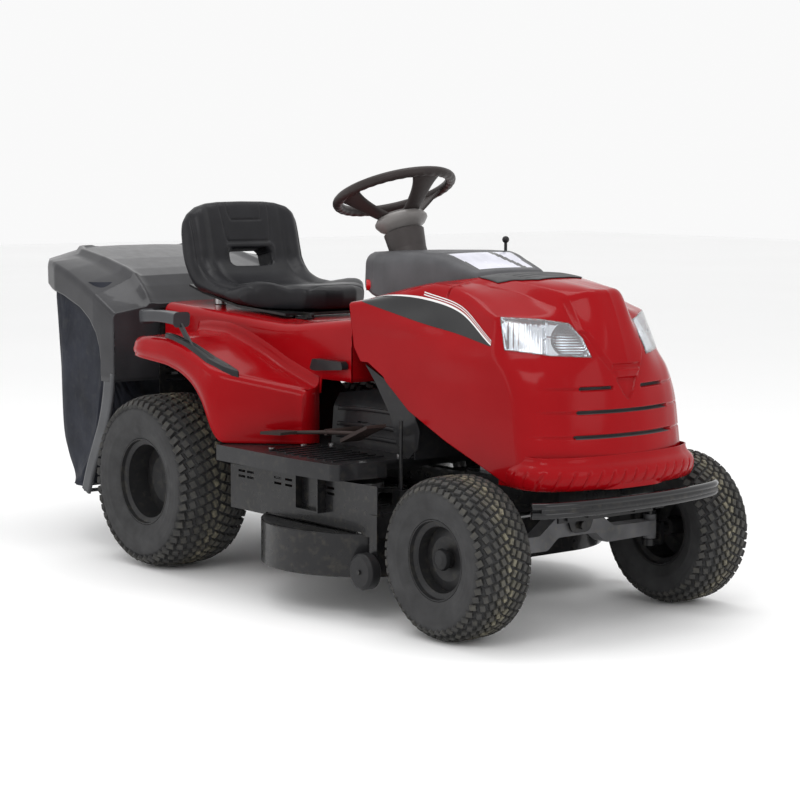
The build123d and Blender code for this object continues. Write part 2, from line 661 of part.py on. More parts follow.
def deck_shell():
    """A stamped two-blade housing: round skirts below, straight slotted walls above."""
    shape = deck_rings(0, DECK_BOTTOM, 206) + block((-5, 600), (-400, 400), (203, 262))
    shape += block((-5, 96), (-120, 120), (137, 206))
    shape -= deck_rings(SKIN, DECK_BOTTOM - 10, 210) + block((-2, 597), (-397, 397), (206, 259))
    for side in (-1, 1):
        wall = tuple(sorted((side * 397, side * 400)))
        shape += prism_y([(-5, 260), (-5, 316), (600, 328), (600, 260)], *wall)
        shape -= rod((BLADE_X, side * BLADE_Y, 240), (BLADE_X, side * BLADE_Y, 300), 22)
        for start in (30, 68, 186, 232, 284, 342, 404):
            for z in (286, 300):
                shape -= block((start, start + 30), tuple(sorted((side * 390, side * 410))), (z, z + 6))
        x, y, z = SCALP_WHEEL
        shape += block((x - 15, x + 13), tuple(sorted((side * 399, side * 404))), (z - 12, 258))
        shape += rod((x, side * 402, z), (x, side * (y + 23), z), 6)
    return shape - block((-20, 110), (-116, 116), (140, 256))


def deck_brackets():
    """Spindle bearings and the hangers that the deck is lifted by."""
    shape = None
    for side in (-1, 1):
        y = side * BLADE_Y
        ring = rod((BLADE_X, y, 262 + GAP), (BLADE_X, y, 270), 42) - rod((BLADE_X, y, 255),
                                                                         (BLADE_X, y, 280), 12.6)
        side_box = tuple(sorted((side * 400.3, side * 424)))
        box = block((305, 398), side_box, (240, 327)) - block((309, 394),
                                                              tuple(sorted((side * 404, side * 430))),
                                                              (244, 400))
        front = block((508, 538), tuple(sorted((side * 250, side * 280))), (262 + GAP, 300))
        link = rod((523, side * 265, 299), (523, side * 265, 468), 5)
        piece = ring + box + front + link
        shape = piece if shape is None else shape + piece
    return shape


def anti_scalp_wheel(side):
    bore = 6 + SHAFT_CLEARANCE
    x, y, z = SCALP_WHEEL
    return spun([(-19, bore), (-19, 36, 4), (-12, 44, 6), (12, 44, 6), (19, 36, 4), (19, bore)],
                (x, side * y, z))


def cutter(side, turn):
    """One blade with its spindle and pulley."""
    y = side * BLADE_Y
    low, high = PULLEY_Z
    blade = Pos(BLADE_X, y, 125) * Rot(0, 0, turn) * Box(2 * BLADE_R, 56, 5)
    tip = Pos(BLADE_X, y, 125) * Rot(0, 0, turn)
    for end in (-1, 1):
        blade += tip * Pos(end * (BLADE_R - 55), -end * 30, 8) * Rot(-end * 22, 0, 0) * Box(100, 34, 4)
    shaft = rod((BLADE_X, y, 118), (BLADE_X, y, high), 12.5)
    hub = rod((BLADE_X, y, 127), (BLADE_X, y, 150), 26)
    return blade + shaft + hub + rod((BLADE_X, y, low), (BLADE_X, y, high), DECK_PULLEY_R)


def belt_loop(grow, low, high):
    """The outline that goes round all three deck pulleys, grown outwards."""
    deck_r = DECK_PULLEY_R + grow
    circles = [(BLADE_X, BLADE_Y, deck_r), (BLADE_X, -BLADE_Y, deck_r), (CRANK_X, 0, CRANK_PULLEY_R + grow)]
    shape = None
    for i, (x0, y0, r0) in enumerate(circles):
        x1, y1, r1 = circles[(i + 1) % 3]
        run = math.hypot(x1 - x0, y1 - y0)
        heading = math.atan2(y1 - y0, x1 - x0)
        lean = math.asin((r0 - r1) / run)
        corners = []
        for x, y, r, turn in ((x0, y0, r0, 1), (x1, y1, r1, 1), (x1, y1, r1, -1), (x0, y0, r0, -1)):
            angle = heading + turn * (math.pi / 2 - lean)
            corners.append((x + r * math.cos(angle), y + r * math.sin(angle)))
        piece = prism_z(corners, low, high) + rod((x0, y0, low), (x0, y0, high), r0)
        shape = piece if shape is None else shape + piece
    middle = [(c[0], c[1]) for c in circles]
    return shape + prism_z(middle, low, high)


def deck_belt():
    return belt_loop(9 + GAP, 281, 290) - belt_loop(GAP, 270, 300)


# ---- seat and collector -------------------------------------------------------------

def seat_cushion():
    """One padded shell: base, raised back with a hand hole, rounded front."""
    side = [(-50, 690, 8), (-42, 754, 18), (-130, 764, 60), (-330, 748, 120), (-452, 772, 50),
            (-488, 900, 120), (-508, 978, 16), (-548, 976, 14), (-562, 850, 100), (-545, 752, 30),
            (-470, 735, 60), (-300, 706, 80)]
    plan = both_sides([(-570, 196, 30), (-240, 198, 150), (-42, 110, 120), (-38, 0, 300)])
    front = [(-198, 600), (-198, 940, 60), (-120, 980, 60), (120, 980, 60), (198, 940, 60), (198, 600)]
    shape = prism_y(side, -200, 200) & prism_z(plan, 600, 1000) & prism_x(front, -600, 0)
    hole = [(-70, 779, 14), (70, 779, 14), (62, 836, 18), (-62, 836, 18)]
    return shape - prism_x(hole, -600, -430)


def seat_pan():
    """The steel base that the seat tilts on, hinged at its front edge."""
    x, z = SEAT_HINGE
    top = [(-80, 688.5), (-300, 700), (-468, 729), (-536, 746)]
    plate = prism_y(top + [(c[0], c[1] - 6) for c in reversed(top)], -170, 170)
    lug = prism_y([(x - 50, 683), (x - 50, 688), (x + 7, 690, 6), (x + 7, z - 7, 6), (x - 7, z - 7, 6)],
                  96, 104)
    return plate + mirror_pair(lug - rod((x, 80, z), (x, 120, z), HINGE_PIN_R + SHAFT_CLEARANCE))


def collector_volume(inset):
    """The boxy upper cover of the collector."""
    side = [(-609, 470), (-609, 690, 14), (-692, 770, 30), (-860, 808, 300), (-1076, 838, 10),
            (REAR_END, 800, 14), (REAR_END, 470)]
    plan = both_sides([(-606, 376), (-700, 386), (-930, 388, 90), (-1050, 320, 120), (REAR_END, 150, 200),
                       (REAR_END, 0)])
    section = [(-388, 400), (-388, 738, 24), (-260, 842, 60), (260, 842, 60), (388, 738, 24), (388, 400)]
    shape = prism_y(side, -400, 400, inset) & prism_z(plan, 400, 900, inset)
    return shape & prism_x(section, REAR_END - 10, -600, inset)


def collector_cover():
    """Hard top of the collector with arched sides, and the frame that the bag hangs in."""
    shape = collector_volume(0) - collector_volume(SKIN) - block((-1100, -612), (-384, 384), (440, 560))
    keep = [(-600, 900), (-1100, 900), (-1100, 770), (-1000, 748, 60), (-860, 710, 160), (-720, 640, 90),
            (-668, 560, 60), (-650, 472), (-600, 472)]
    shape = shape & prism_y(keep, -400, 400)
    leg = prism_y([(-609, 474), (-652, 474), (-676, 380, 80), (-790, 146), (-748, 146), (-640, 372, 100),
                   (-612, 440)], 366, 374)
    shape += mirror_pair(leg)
    shape += block((-790, -752), (-374, 374), (146, 154))
    shape += block((-613, -609), (-376, 376), (474, 700)) & collector_volume(0)
    shape -= block((-620, -600), (-128, 128), (470, 634))
    x, z = COLLECTOR_HINGE
    lug = prism_y([(-611, z - 12), (x, z - 9, 6), (x + 4, z + 5, 3), (-611, z + 9)], 166, 176)
    lug -= rod((x, 140, z), (x, 200, z), HINGE_PIN_R + SHAFT_CLEARANCE)
    return shape + mirror_pair(lug)


def bag_volume(inset):
    side = [(-640, 690), (-640, 470, 20), (-690, 372, 60), (-792, 158, 20), (-862, 158, 40),
            (-985, 290, 60), (-1076, 470, 60), (-1080, 778)]
    plan = both_sides([(-615, 362), (-930, 376, 80), (-1044, 306, 110), (-1082, 150, 180), (-1082, 0)])
    shape = prism_y(side, -364, 364, inset) & prism_z(plan, 100, 900, inset)
    return shape & (collector_volume(SKIN + 4) + block((REAR_END, -600), (-400, 400), (100, 520)))


def collector_bag():
    """The woven bag: closed below, open to the front for the chute and up into the cover."""
    shape = bag_volume(0) - bag_volume(SKIN)
    shape -= block((-660, -600), (-126, 126), (480, 634))
    return shape


# ---- controls -----------------------------------------------------------------------

def lift_quadrant():
    """The slotted guide of the height lever, on top of the right fender."""
    top = [(-440, 636), (-440, 662, 8), (-236, 664, 20), (-100, 634, 60), (40, 574, 3), (36, 564),
           (-100, 616, 60), (-236, 640)]
    shape = prism_y(top, -446, -402)
    shape -= block((-232, -30), (-430, -418), (560, 700))
    return shape


def lift_lever():
    """Height lever: an arm from its pivot in the fender up through the guide to a flat grip."""
    x, z = LEVER_PIVOT
    arm = prism_y([(x - 10, z - 8, 8), (x + 10, z - 2, 8), (-193, 668), (-212, 668)], -427, -421)
    grip = prism_y([(-196, 667), (-196, 690, 8), (-330, 694, 10), (-330, 672, 8)], -442, -406)
    boss = rod((x, -432, z), (x, -416, z), 14)
    return arm + grip + boss - rod((x, -450, z), (x, -400, z), 6 + SHAFT_CLEARANCE)


def drive_pedal():
    """Heel and toe pads on one rocker: forward and reverse."""
    x, y, z = 290, -200, 420
    shape = rod((x, y + 20, z), (x, -318, z), 8)
    shape += rod((x, -314, z), (445, -314, 432), 5) + rod((x, -314, z), (170, -356, 410), 5)
    toe = prism_y([(396, 408), (500, 452), (498, 460, 2), (392, 416, 2)], -352, -292)
    heel = prism_y([(122, 404), (124, 412, 2), (210, 418, 2), (210, 410)], -398, -340)
    return shape + toe + heel


def brake_pedal():
    x, z = 320, 420
    shape = rod((x, 180, z), (x, 318, z), 8) + rod((x, 314, z), (440, 314, 446), 6)
    return shape + prism_y([(408, 424), (482, 470), (478, 478, 2), (402, 432, 2)], 276, 352)


def throttle_lever():
    x, z = THROTTLE_PIVOT
    shape = rod((x, 112, z), (x, 124, z), 7) + rod((x, 118, z), (x, 118, z + 44), 4)
    return shape + Pos(x, 118, z + 46) * Sphere(9) - rod((x, 100, z), (x, 130, z), 3 + SHAFT_CLEARANCE)


def cutter_knob():
    """The pull knob that engages the blades."""
    shape = rod(KNOB_BASE - KNOB_OUT * 34, KNOB_BASE + KNOB_OUT * 6, 6)
    return shape + rod(KNOB_BASE + KNOB_OUT * 4, KNOB_BASE + KNOB_OUT * 18, 14)


def brake_lock():
    """A flat handle in a recess of the body, ahead of the right fender."""
    grip = prism_y([(148, 564, 6), (160, 592, 8), (280, 592, 8), (288, 572, 6), (172, 562)], -262, -243)
    return grip + rod((276, -262, 580), (276, -241, 580), 8)


def seat_springs():
    """Two springs between the pedestal and the seat pan, each a stack of close coils."""
    shape = None
    for side in (-1, 1):
        piece = Pos(-440, side * 130, 704.5) * (Cylinder(17, 19.6) - Cylinder(11, 22))
        shape = piece if shape is None else shape + piece
    return shape


def seat_bracket():
    """Feet on the pedestal with the pin that the seat tilts on."""
    x, z = SEAT_HINGE
    foot = block((x - 26, x + 26), (106, 132), (674.6, 678))
    ear = prism_y([(x - 14, 677), (x + 14, 677), (x + 8, z + 6, 5), (x - 8, z + 6, 5)], 106, 110)
    return mirror_pair(foot + ear + rod((x, 90, z), (x, 110, z), HINGE_PIN_R))


def body_screws():
    """The round-headed screws of the floor, all of one size."""
    spots = [(176, 300), (176, 400), (200, 230), (470, 225)]
    shape = None
    for x, y in spots:
        for side in (-1, 1):
            piece = rod((x, side * y, FLOOR_Z), (x, side * y, FLOOR_Z + 5), 8)
            shape = piece if shape is None else shape + piece
    return shape


def build():
    for side, out in (("right", -1), ("left", 1)):
        front_wheel(side, out)
        rear_wheel(side, out)
        parts["knuckle_" + side] = knuckle(out)
        parts["anti_scalp_wheel_" + side] = anti_scalp_wheel(out)
        parts["cutter_" + side] = cutter(out, 0 if out < 0 else 90)
    lamp = headlamp()
    parts["headlamp_right"] = lamp
    parts["headlamp_left"] = mirrored(lamp)
    reflector = lamp_reflector()
    parts["lamp_reflectors"] = reflector + mirrored(reflector)
    for piece in (frame, front_bumper, rear_plate, rear_body, footboard, tunnel_cover, leg_shield, hood,
                  hood_vent, dash_cowl, dash_window, steering_column, steering_wheel, steering_shaft,
                  engine_block, engine_shroud, crank_pulley, muffler, fuel_tank, battery, transaxle,
                  discharge_chute, front_axle, tie_rod, deck_shell, deck_brackets, deck_belt,
                  seat_cushion, seat_pan, collector_cover, collector_bag, lift_quadrant, lift_lever,
                  drive_pedal, brake_pedal, throttle_lever, cutter_knob, brake_lock, seat_springs,
                  seat_bracket, body_screws):
        parts[piece.__name__] = piece()


build()
for name, shape in parts.items():
    export_step(shape, "parts/" + name + ".step")
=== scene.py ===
import json
import math

import bpy
import numpy as np
from mathutils import Matrix, Vector


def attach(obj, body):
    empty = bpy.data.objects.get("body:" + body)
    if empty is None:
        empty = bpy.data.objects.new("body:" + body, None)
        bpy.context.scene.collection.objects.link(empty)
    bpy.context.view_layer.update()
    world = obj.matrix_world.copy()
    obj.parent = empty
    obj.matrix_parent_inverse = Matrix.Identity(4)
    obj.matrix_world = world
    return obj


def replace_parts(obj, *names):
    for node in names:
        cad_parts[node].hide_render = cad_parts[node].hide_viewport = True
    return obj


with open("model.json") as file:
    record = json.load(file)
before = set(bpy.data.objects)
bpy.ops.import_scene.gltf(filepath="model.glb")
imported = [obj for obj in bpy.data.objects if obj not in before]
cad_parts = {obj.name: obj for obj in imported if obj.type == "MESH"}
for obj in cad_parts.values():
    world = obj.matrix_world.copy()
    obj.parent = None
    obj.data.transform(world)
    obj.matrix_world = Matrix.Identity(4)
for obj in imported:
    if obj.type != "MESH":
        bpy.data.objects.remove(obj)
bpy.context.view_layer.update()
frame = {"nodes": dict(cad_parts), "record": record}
nodes = frame["nodes"]


# ---- camera, lights and floor ----------------------------------------------------------

CAMERA_PLACE = (4.536, -3.545, 1.095)
CAMERA_TURN = (50.769, 6.351, 0.22)  # yaw, pitch and roll, in degrees
CAMERA_LENS, SENSOR_WIDTH = 97.04, 36
WORLD_STRENGTH = 0.95
LIGHTS = (  # name, place, target, size, power
    ("key", (2.6, -3.2, 3.6), (0, 0, 0.4), (2.4, 1.6), 46),
    ("front", (4.6, 0.6, 1.9), (0.3, 0, 0.5), (1.6, 2.2), 16),
    ("top", (-0.2, 0.2, 3.8), (0, 0, 0.3), (3.4, 1.4), 44),
    ("side", (-1.6, -4.2, 1.6), (-0.4, 0, 0.5), (2.4, 1.6), 16),
)


def make_camera():
    data = bpy.data.cameras.new("camera")
    data.lens = CAMERA_LENS
    data.sensor_width = SENSOR_WIDTH
    camera = bpy.data.objects.new("camera", data)
    yaw, pitch, roll = (math.radians(a) for a in CAMERA_TURN)
    back = Vector((math.sin(yaw) * math.cos(pitch), -math.cos(yaw) * math.cos(pitch), math.sin(pitch)))
    right = Vector((math.cos(yaw), math.sin(yaw), 0))
    up = back.cross(right)
    rolled = right * math.cos(roll) + up * math.sin(roll)
    upward = up * math.cos(roll) - right * math.sin(roll)
    turn = Matrix((rolled, upward, back)).transposed().to_4x4()
    camera.matrix_world = Matrix.Translation(CAMERA_PLACE) @ turn
    bpy.context.scene.collection.objects.link(camera)
    bpy.context.scene.camera = camera


def area_light(name, place, target, size, power):
    data = bpy.data.lights.new(name, "AREA")
    data.shape = "RECTANGLE"
    data.size, data.size_y = size
    data.energy = power
    light = bpy.data.objects.new(name, data)
    light.location = place
    light.rotation_euler = (Vector(target) - Vector(place)).to_track_quat("-Z", "Y").to_euler()
    bpy.context.scene.collection.objects.link(light)


def make_studio():
    world = bpy.data.worlds.new("studio")
    world.use_nodes = True
    background = world.node_tree.nodes["Background"]
    background.inputs["Color"].default_value = (1.0, 1.0, 1.0, 1)
    background.inputs["Strength"].default_value = WORLD_STRENGTH
    bpy.context.scene.world = world
    for light in LIGHTS:
        area_light(*light)
    bpy.context.scene.view_settings.view_transform = "Standard"


def make_floor():
    bpy.ops.mesh.primitive_plane_add(size=40, location=(0, 0, 0))
    floor = bpy.context.object
    floor.name = "floor"
    pale = finish("floor_pale", (0.96, 0.96, 0.96), 0.6, vary=0.01, patch=0.5, grain=(40, 0.01, 0.0002))
    floor.data.materials.append(pale)


# ---- materials ---------------------------------------------------------------------------

def wire(tree, output, target):
    tree.links.new(output, target)


def noise_node(tree, scale, detail=4, squeeze=None):
    """Noise laid out in the object's own metres; squeeze stretches it along the axes."""
    place = tree.nodes.new("ShaderNodeTexCoord")
    source = place.outputs["Object"]
    if squeeze:
        mapping = tree.nodes.new("ShaderNodeMapping")
        mapping.inputs["Scale"].default_value = squeeze
        wire(tree, source, mapping.inputs["Vector"])
        source = mapping.outputs["Vector"]
    texture = tree.nodes.new("ShaderNodeTexNoise")
    texture.inputs["Scale"].default_value = scale
    texture.inputs["Detail"].default_value = detail
    wire(tree, source, texture.inputs["Vector"])
    return texture.outputs["Fac"]


def ramp(tree, factor, low, high, start=0.3, end=0.7):
    node = tree.nodes.new("ShaderNodeValToRGB")
    node.color_ramp.elements[0].position = start
    node.color_ramp.elements[1].position = end
    node.color_ramp.elements[0].color = (*low, 1)
    node.color_ramp.elements[1].color = (*high, 1)
    wire(tree, factor, node.inputs["Fac"])
    return node.outputs["Color"]


def spread(tree, factor, low, high):
    node = tree.nodes.new("ShaderNodeMapRange")
    node.inputs["To Min"].default_value = low
    node.inputs["To Max"].default_value = high
    wire(tree, factor, node.inputs["Value"])
    return node.outputs["Result"]


def bump(tree, shader, height, strength, distance):
    """Adds one layer of relief on top of the ones already there."""
    node = tree.nodes.new("ShaderNodeBump")
    node.inputs["Strength"].default_value = strength
    node.inputs["Distance"].default_value = distance
    wire(tree, height, node.inputs["Height"])
    before = shader.inputs["Normal"].links
    if before:
        wire(tree, before[0].from_socket, node.inputs["Normal"])
    wire(tree, node.outputs["Normal"], shader.inputs["Normal"])


def mixed(tree, factor, first, second):
    """The first colour turning into the second as the factor rises."""
    mix = tree.nodes.new("ShaderNodeMix")
    mix.data_type = "RGBA"
    wire(tree, factor, mix.inputs["Factor"])
    wire(tree, first, mix.inputs["A"])
    if isinstance(second, tuple):
        mix.inputs["B"].default_value = (*second, 1)
    else:
        wire(tree, second, mix.inputs["B"])
    return mix.outputs["Result"]


def finish(name, colour, roughness, metallic=0.0, coat=0.0, vary=0.15, patch=14, grain=(350, 0.12, 0.0004),
           dust=None, shine=0.2):
    """A painted, moulded or metal finish: drifting tone, uneven gloss, fine relief and settled dust.

    patch is the scale of the drift, grain the relief's (scale, strength, depth), dust its (colour, amount).
    """
    material = bpy.data.materials.new(name)
    material.use_nodes = True
    tree = material.node_tree
    shader = tree.nodes["Principled BSDF"]
    shader.inputs["Metallic"].default_value = metallic
    shader.inputs["Coat Weight"].default_value = coat
    shader.inputs["Specular IOR Level"].default_value = shine
    shader.inputs["Coat Roughness"].default_value = 0.04
    low = tuple(c * (1 - vary) for c in colour)
    high = tuple(min(c * (1 + vary) + 0.002, 1) for c in colour)
    tone = ramp(tree, noise_node(tree, patch, 5), low, high)
    if dust:
        fleck = ramp(tree, noise_node(tree, 60, 8), (0, 0, 0), (dust[1],) * 3, 0.52, 0.75)
        tone = mixed(tree, fleck, tone, dust[0])
    wire(tree, tone, shader.inputs["Base Color"])
    gloss = spread(tree, noise_node(tree, patch * 2.5, 6), roughness * 0.8, min(roughness * 1.25, 1))
    wire(tree, gloss, shader.inputs["Roughness"])
    bump(tree, shader, noise_node(tree, grain[0], 3), grain[1], grain[2])
    return material


TAN = (0.19, 0.17, 0.12)
finishes = {"red_body": finish("red_gloss", (0.27, 0.0015, 0.004), 0.16, coat=0.07, vary=0.06, patch=5,
                               grain=(900, 0.02, 0.0002), shine=0.08),
            "vent_plastic": finish("vent_grey", (0.06, 0.06, 0.062), 0.5),
            "dash_plastic": finish("dash_grey", (0.075, 0.075, 0.08), 0.45, grain=(1200, 0.25, 0.0003)),
            "dash_window": finish("dash_pale", (0.62, 0.62, 0.70), 0.25, coat=0.3),
            "column_plastic": finish("column_grey", (0.05, 0.043, 0.042), 0.42,
                                     grain=(1100, 0.25, 0.0003)),
            "bare_steel": finish("bare_steel", (0.42, 0.42, 0.42), 0.32, metallic=1.0, vary=0.2,
                                 grain=(700, 0.2, 0.0002)),
            "black_paint": finish("black_paint", (0.010, 0.010, 0.011), 0.28, coat=0.15,
                                  grain=(600, 0.15, 0.0003), dust=(TAN, 0.12)),
            "axle_paint": finish("axle_grey", (0.11, 0.11, 0.115), 0.5, vary=0.25,
                                 grain=(260, 0.35, 0.0008), dust=(TAN, 0.3)),
            "rim_paint": finish("rim_dark", (0.018, 0.018, 0.019), 0.38, grain=(500, 0.2, 0.0003),
                                dust=(TAN, 0.1)),
            "belt_rubber": finish("belt_rubber", (0.02, 0.02, 0.02), 0.7, grain=(800, 0.4, 0.0004)),
            "cap_plastic": finish("cap_black", (0.015, 0.015, 0.016), 0.4),
            "black_plastic": finish("black_plastic", (0.012, 0.012, 0.0135), 0.32, coat=0.12,
                                    grain=(1000, 0.2, 0.0003), dust=(TAN, 0.06)),
            "pedal_rubber": finish("pedal_rubber", (0.03, 0.02, 0.018), 0.6, grain=(500, 0.4, 0.0005)),
            "red_knob": finish("red_knob", (0.5, 0.006, 0.008), 0.2, coat=0.5),
            "engine_metal": finish("engine_cast", (0.3, 0.3, 0.31), 0.5, metallic=0.8,
                                   grain=(300, 0.4, 0.0008), dust=(TAN, 0.3)),
            "pulley_steel": finish("pulley_zinc", (0.4, 0.4, 0.38), 0.35, metallic=1.0),
            "muffler_steel": finish("muffler_heat", (0.22, 0.19, 0.16), 0.5, metallic=0.9, vary=0.3),
            "tank_plastic": finish("tank_natural", (0.55, 0.54, 0.5), 0.45),
            "seat_vinyl": finish("seat_vinyl", (0.012, 0.012, 0.014), 0.36, grain=(420, 0.35, 0.0006)),
            "collector_plastic": finish("collector_grey", (0.03, 0.03, 0.033), 0.3, coat=0.2,
                                        grain=(900, 0.2, 0.0003)),
            "bag_fabric": finish("bag_cloth", (0.02, 0.022, 0.03), 0.75, grain=(700, 0.5, 0.0006)),
            "tyre_rubber": finish("tyre_rubber", (0.028, 0.028, 0.03), 0.62, vary=0.3,
                                  grain=(500, 0.4, 0.0006), dust=(TAN, 0.3)),
            "reflector": finish("reflector_bright", (0.85, 0.86, 0.88), 0.12, metallic=1.0, vary=0.04),
            "lamp_lens": finish("lamp_clear", (0.9, 0.92, 0.95), 0.08, vary=0.03),
            "decal_black": finish("decal_black", (0.008, 0.008, 0.009), 0.25, coat=0.5,
                                  grain=(900, 0.02, 0.0002)),
            "decal_white": finish("decal_white", (0.75, 0.74, 0.74), 0.25, coat=0.4, vary=0.05,
                                  grain=(900, 0.02, 0.0002)),}
finishes["lamp_lens"].node_tree.nodes["Principled BSDF"].inputs["Transmission Weight"].default_value = 0.9
slots = {row["node"]: row["material_slot"] for row in frame["record"]["subparts"]}
for name, node in nodes.items():
    node.data.materials.clear()
    node.data.materials.append(finishes[slots[name]])
    for polygon in node.data.polygons:
        polygon.material_index = 0


# ---- lines and curves --------------------------------------------------------------------

UP = np.array((0.0, 0.0, 1.0))
SKIN = 0.003  # thickness of the moulded skins


def unit(value):
    """The value held between 0 and 1."""
    return np.clip(value, 0.0, 1.0)


def eased(share):
    """A share from 0 to 1 that starts and stops gently."""
    return share * share * (3 - 2 * share)


def bell(value, width):
    """1 where value is 0, falling away over width on both sides."""
    return np.exp(-(value / width) ** 2)


def gate(value, low, high, soft):
    """1 between low and high, falling to 0 over soft on each side."""
    return unit((value - low) / soft + 0.5) * unit((high - value) / soft + 0.5)


def at_line(line, x):
    """The straight-line value at x of a run of (x, value) corners."""
    return float(np.interp(x, *zip(*line)))


def run_length(line):
    """Distance along a run of (n, 2) points, from its start to each of them."""
    return np.concatenate(((0,), np.cumsum(np.hypot(*np.diff(line, axis=0).T))))


def rounding(steps=7):
    """Steps round a quarter circle, as pairs of the sine and one minus the cosine."""
    turns = [k / 8 * math.pi / 2 for k in range(1, steps + 1)]
    return [(math.sin(turn), 1 - math.cos(turn)) for turn in turns]


def both_sides(line):
    """A half section that starts in the middle plane, with its mirror image before it."""
    return [(-y, z) for y, z in reversed(line[1:])] + line


def round_the_nose(line):
    """The right half of a plan line of (x, y) points, and its mirror image after it."""
    return np.array(list(line) + [(x, -y) for x, y in line[-2::-1]])


def at_station(x, section):
    """A (y, z) section as points at x."""
    return np.column_stack((np.full(len(section), x), section))


# ---- hood --------------------------------------------------------------------------------

def smooth_along(keys, stack, at):
    """Cubic through stack, whose first axis follows keys, at the places in at."""
    i = np.clip(np.searchsorted(keys, at, side="right") - 1, 0, len(keys) - 2)
    step = (keys[i + 1] - keys[i])[:, None]
    t = (at[:, None] - keys[i][:, None]) / step
    slope = np.gradient(stack, keys, axis=0)
    start = stack[i] * (2 * t**3 - 3 * t**2 + 1) + slope[i] * step * (t**3 - 2 * t**2 + t)
    return start + stack[i + 1] * (3 * t**2 - 2 * t**3) + slope[i + 1] * step * (t**3 - t**2)


def smooth_line(keys, values, at):
    """The same cubic through single values."""
    return smooth_along(keys, np.array(values, float)[:, None], at)[:, 0]


def table(rows, columns, values):
    """A smooth lookup in two variables, held at the ends: values[row][column], sampled finely once."""
    rows, columns, values = (np.array(v, float) for v in (rows, columns, values))
    count = 240
    fine_rows = np.linspace(rows[0], rows[-1], count)
    fine_columns = np.linspace(columns[0], columns[-1], count)
    dense = smooth_along(columns, smooth_along(rows, values, fine_rows).T, fine_columns).T

    def look(a, b):
        u = unit((a - rows[0]) / (rows[-1] - rows[0])) * (count - 1)
        v = unit((b - columns[0]) / (columns[-1] - columns[0])) * (count - 1)
        i = np.minimum(u.astype(int), count - 2)
        j = np.minimum(v.astype(int), count - 2)
        u, v = u - i, v - j
        below = dense[i, j] * (1 - v) + dense[i, j + 1] * v
        above = dense[i + 1, j] * (1 - v) + dense[i + 1, j + 1] * v
        return below * (1 - u) + above * u

    return look


SIDE_X = (0.29, 0.42, 0.57, 0.70, 0.85, 0.95)
SIDE_Z = (0.34, 0.45, 0.57, 0.66, 0.70, 0.745, 0.80)
SIDE_HALF = table(SIDE_Z, SIDE_X, (
    (0.252, 0.253, 0.254, 0.254, 0.254, 0.254),
    (0.252, 0.253, 0.255, 0.256, 0.256, 0.254),
    (0.251, 0.252, 0.254, 0.255, 0.254, 0.252),
    (0.250, 0.251, 0.253, 0.254, 0.250, 0.250),
    (0.250, 0.251, 0.251, 0.240, 0.243, 0.244),
    (0.249, 0.239, 0.226, 0.224, 0.236, 0.236),
    (0.240, 0.222, 0.206, 0.206, 0.215, 0.215)))
TOP_X = (0.29, 0.42, 0.57, 0.68, 0.79, 0.88, 0.95, 1.00)
TOP_Y = (0.0, 0.05, 0.09, 0.12, 0.16, 0.205, 0.25)
TOP_HEIGHT = table(TOP_Y, TOP_X, (
    (0.752, 0.787, 0.812, 0.818, 0.810, 0.800, 0.790, 0.782),
    (0.752, 0.787, 0.811, 0.817, 0.809, 0.798, 0.786, 0.776),
    (0.751, 0.786, 0.809, 0.814, 0.804, 0.784, 0.757, 0.735),
    (0.750, 0.784, 0.806, 0.810, 0.794, 0.763, 0.737, 0.712),
    (0.748, 0.780, 0.804, 0.804, 0.782, 0.749, 0.722, 0.700),
    (0.745, 0.771, 0.795, 0.793, 0.767, 0.738, 0.712, 0.690),
    (0.741, 0.752, 0.757, 0.760, 0.745, 0.728, 0.700, 0.680)))
NOSE_Y = (0.0, 0.05, 0.09, 0.15, 0.20, 0.235, 0.26)
NOSE_Z = (0.34, 0.46, 0.57, 0.61, 0.65, 0.69, 0.73, 0.77, 0.80)
NOSE_REACH = table(NOSE_Y, NOSE_Z, (
    (1.054, 1.043, 1.029, 1.022, 1.010, 0.996, 0.980, 0.962, 0.945),
    (1.052, 1.041, 1.026, 1.018, 1.004, 0.988, 0.970, 0.950, 0.930),
    (1.046, 1.035, 1.018, 1.010, 0.994, 0.968, 0.936, 0.910, 0.890),
    (1.030, 1.018, 0.999, 0.985, 0.960, 0.935, 0.908, 0.880, 0.860),
    (1.008, 0.994, 0.972, 0.955, 0.922, 0.900, 0.875, 0.850, 0.830),
    (0.978, 0.964, 0.938, 0.915, 0.875, 0.855, 0.840, 0.820, 0.800),
    (0.930, 0.915, 0.890, 0.865, 0.830, 0.815, 0.800, 0.790, 0.780)))
SLOT_ROWS = (  # height, and where each slot starts and ends beside the middle
    (0.576, 0.046, 0.128), (0.523, -0.01, 0.142), (0.467, -0.01, 0.152))
SHIELD_LOW, SHIELD_TOP, SHIELD_HALF = 0.548, 0.600, 0.034
SOFT_EDGE = 0.010
HOOD_REAR = 0.298
NOSE_PIVOT = 0.80  # x of the upright axis that the front slices turn round
DASH_FOOT = 0.64  # x where the dash meets the hood in the middle


def slot_cut(y, z):
    """1 in the slots across the nose, 0 beside them."""
    cut = np.zeros(np.broadcast(y, z).shape)
    for height, start, end in SLOT_ROWS:
        cut = np.maximum(cut, gate(z, height - 0.0035, height + 0.0035, 0.0022)
                         * gate(np.abs(y), start, end, 0.006))
    return cut


def slot_groove(y, z):
    """The shallow trailing grooves that carry each slot line round the corner."""
    cut = np.zeros(np.broadcast(y, z).shape)
    for height, _, end in SLOT_ROWS:
        cut = np.maximum(cut, gate(z, height - 0.002, height + 0.002, 0.003)
                         * gate(np.abs(y), end, end + 0.078, 0.03))
    return cut


def soft_corner(first, second):
    """The larger of two fields, rounded over where they meet."""
    overlap = np.clip(SOFT_EDGE - np.abs(first - second), 0, None)
    return np.maximum(first, second) + overlap ** 2 / (4 * SOFT_EDGE)


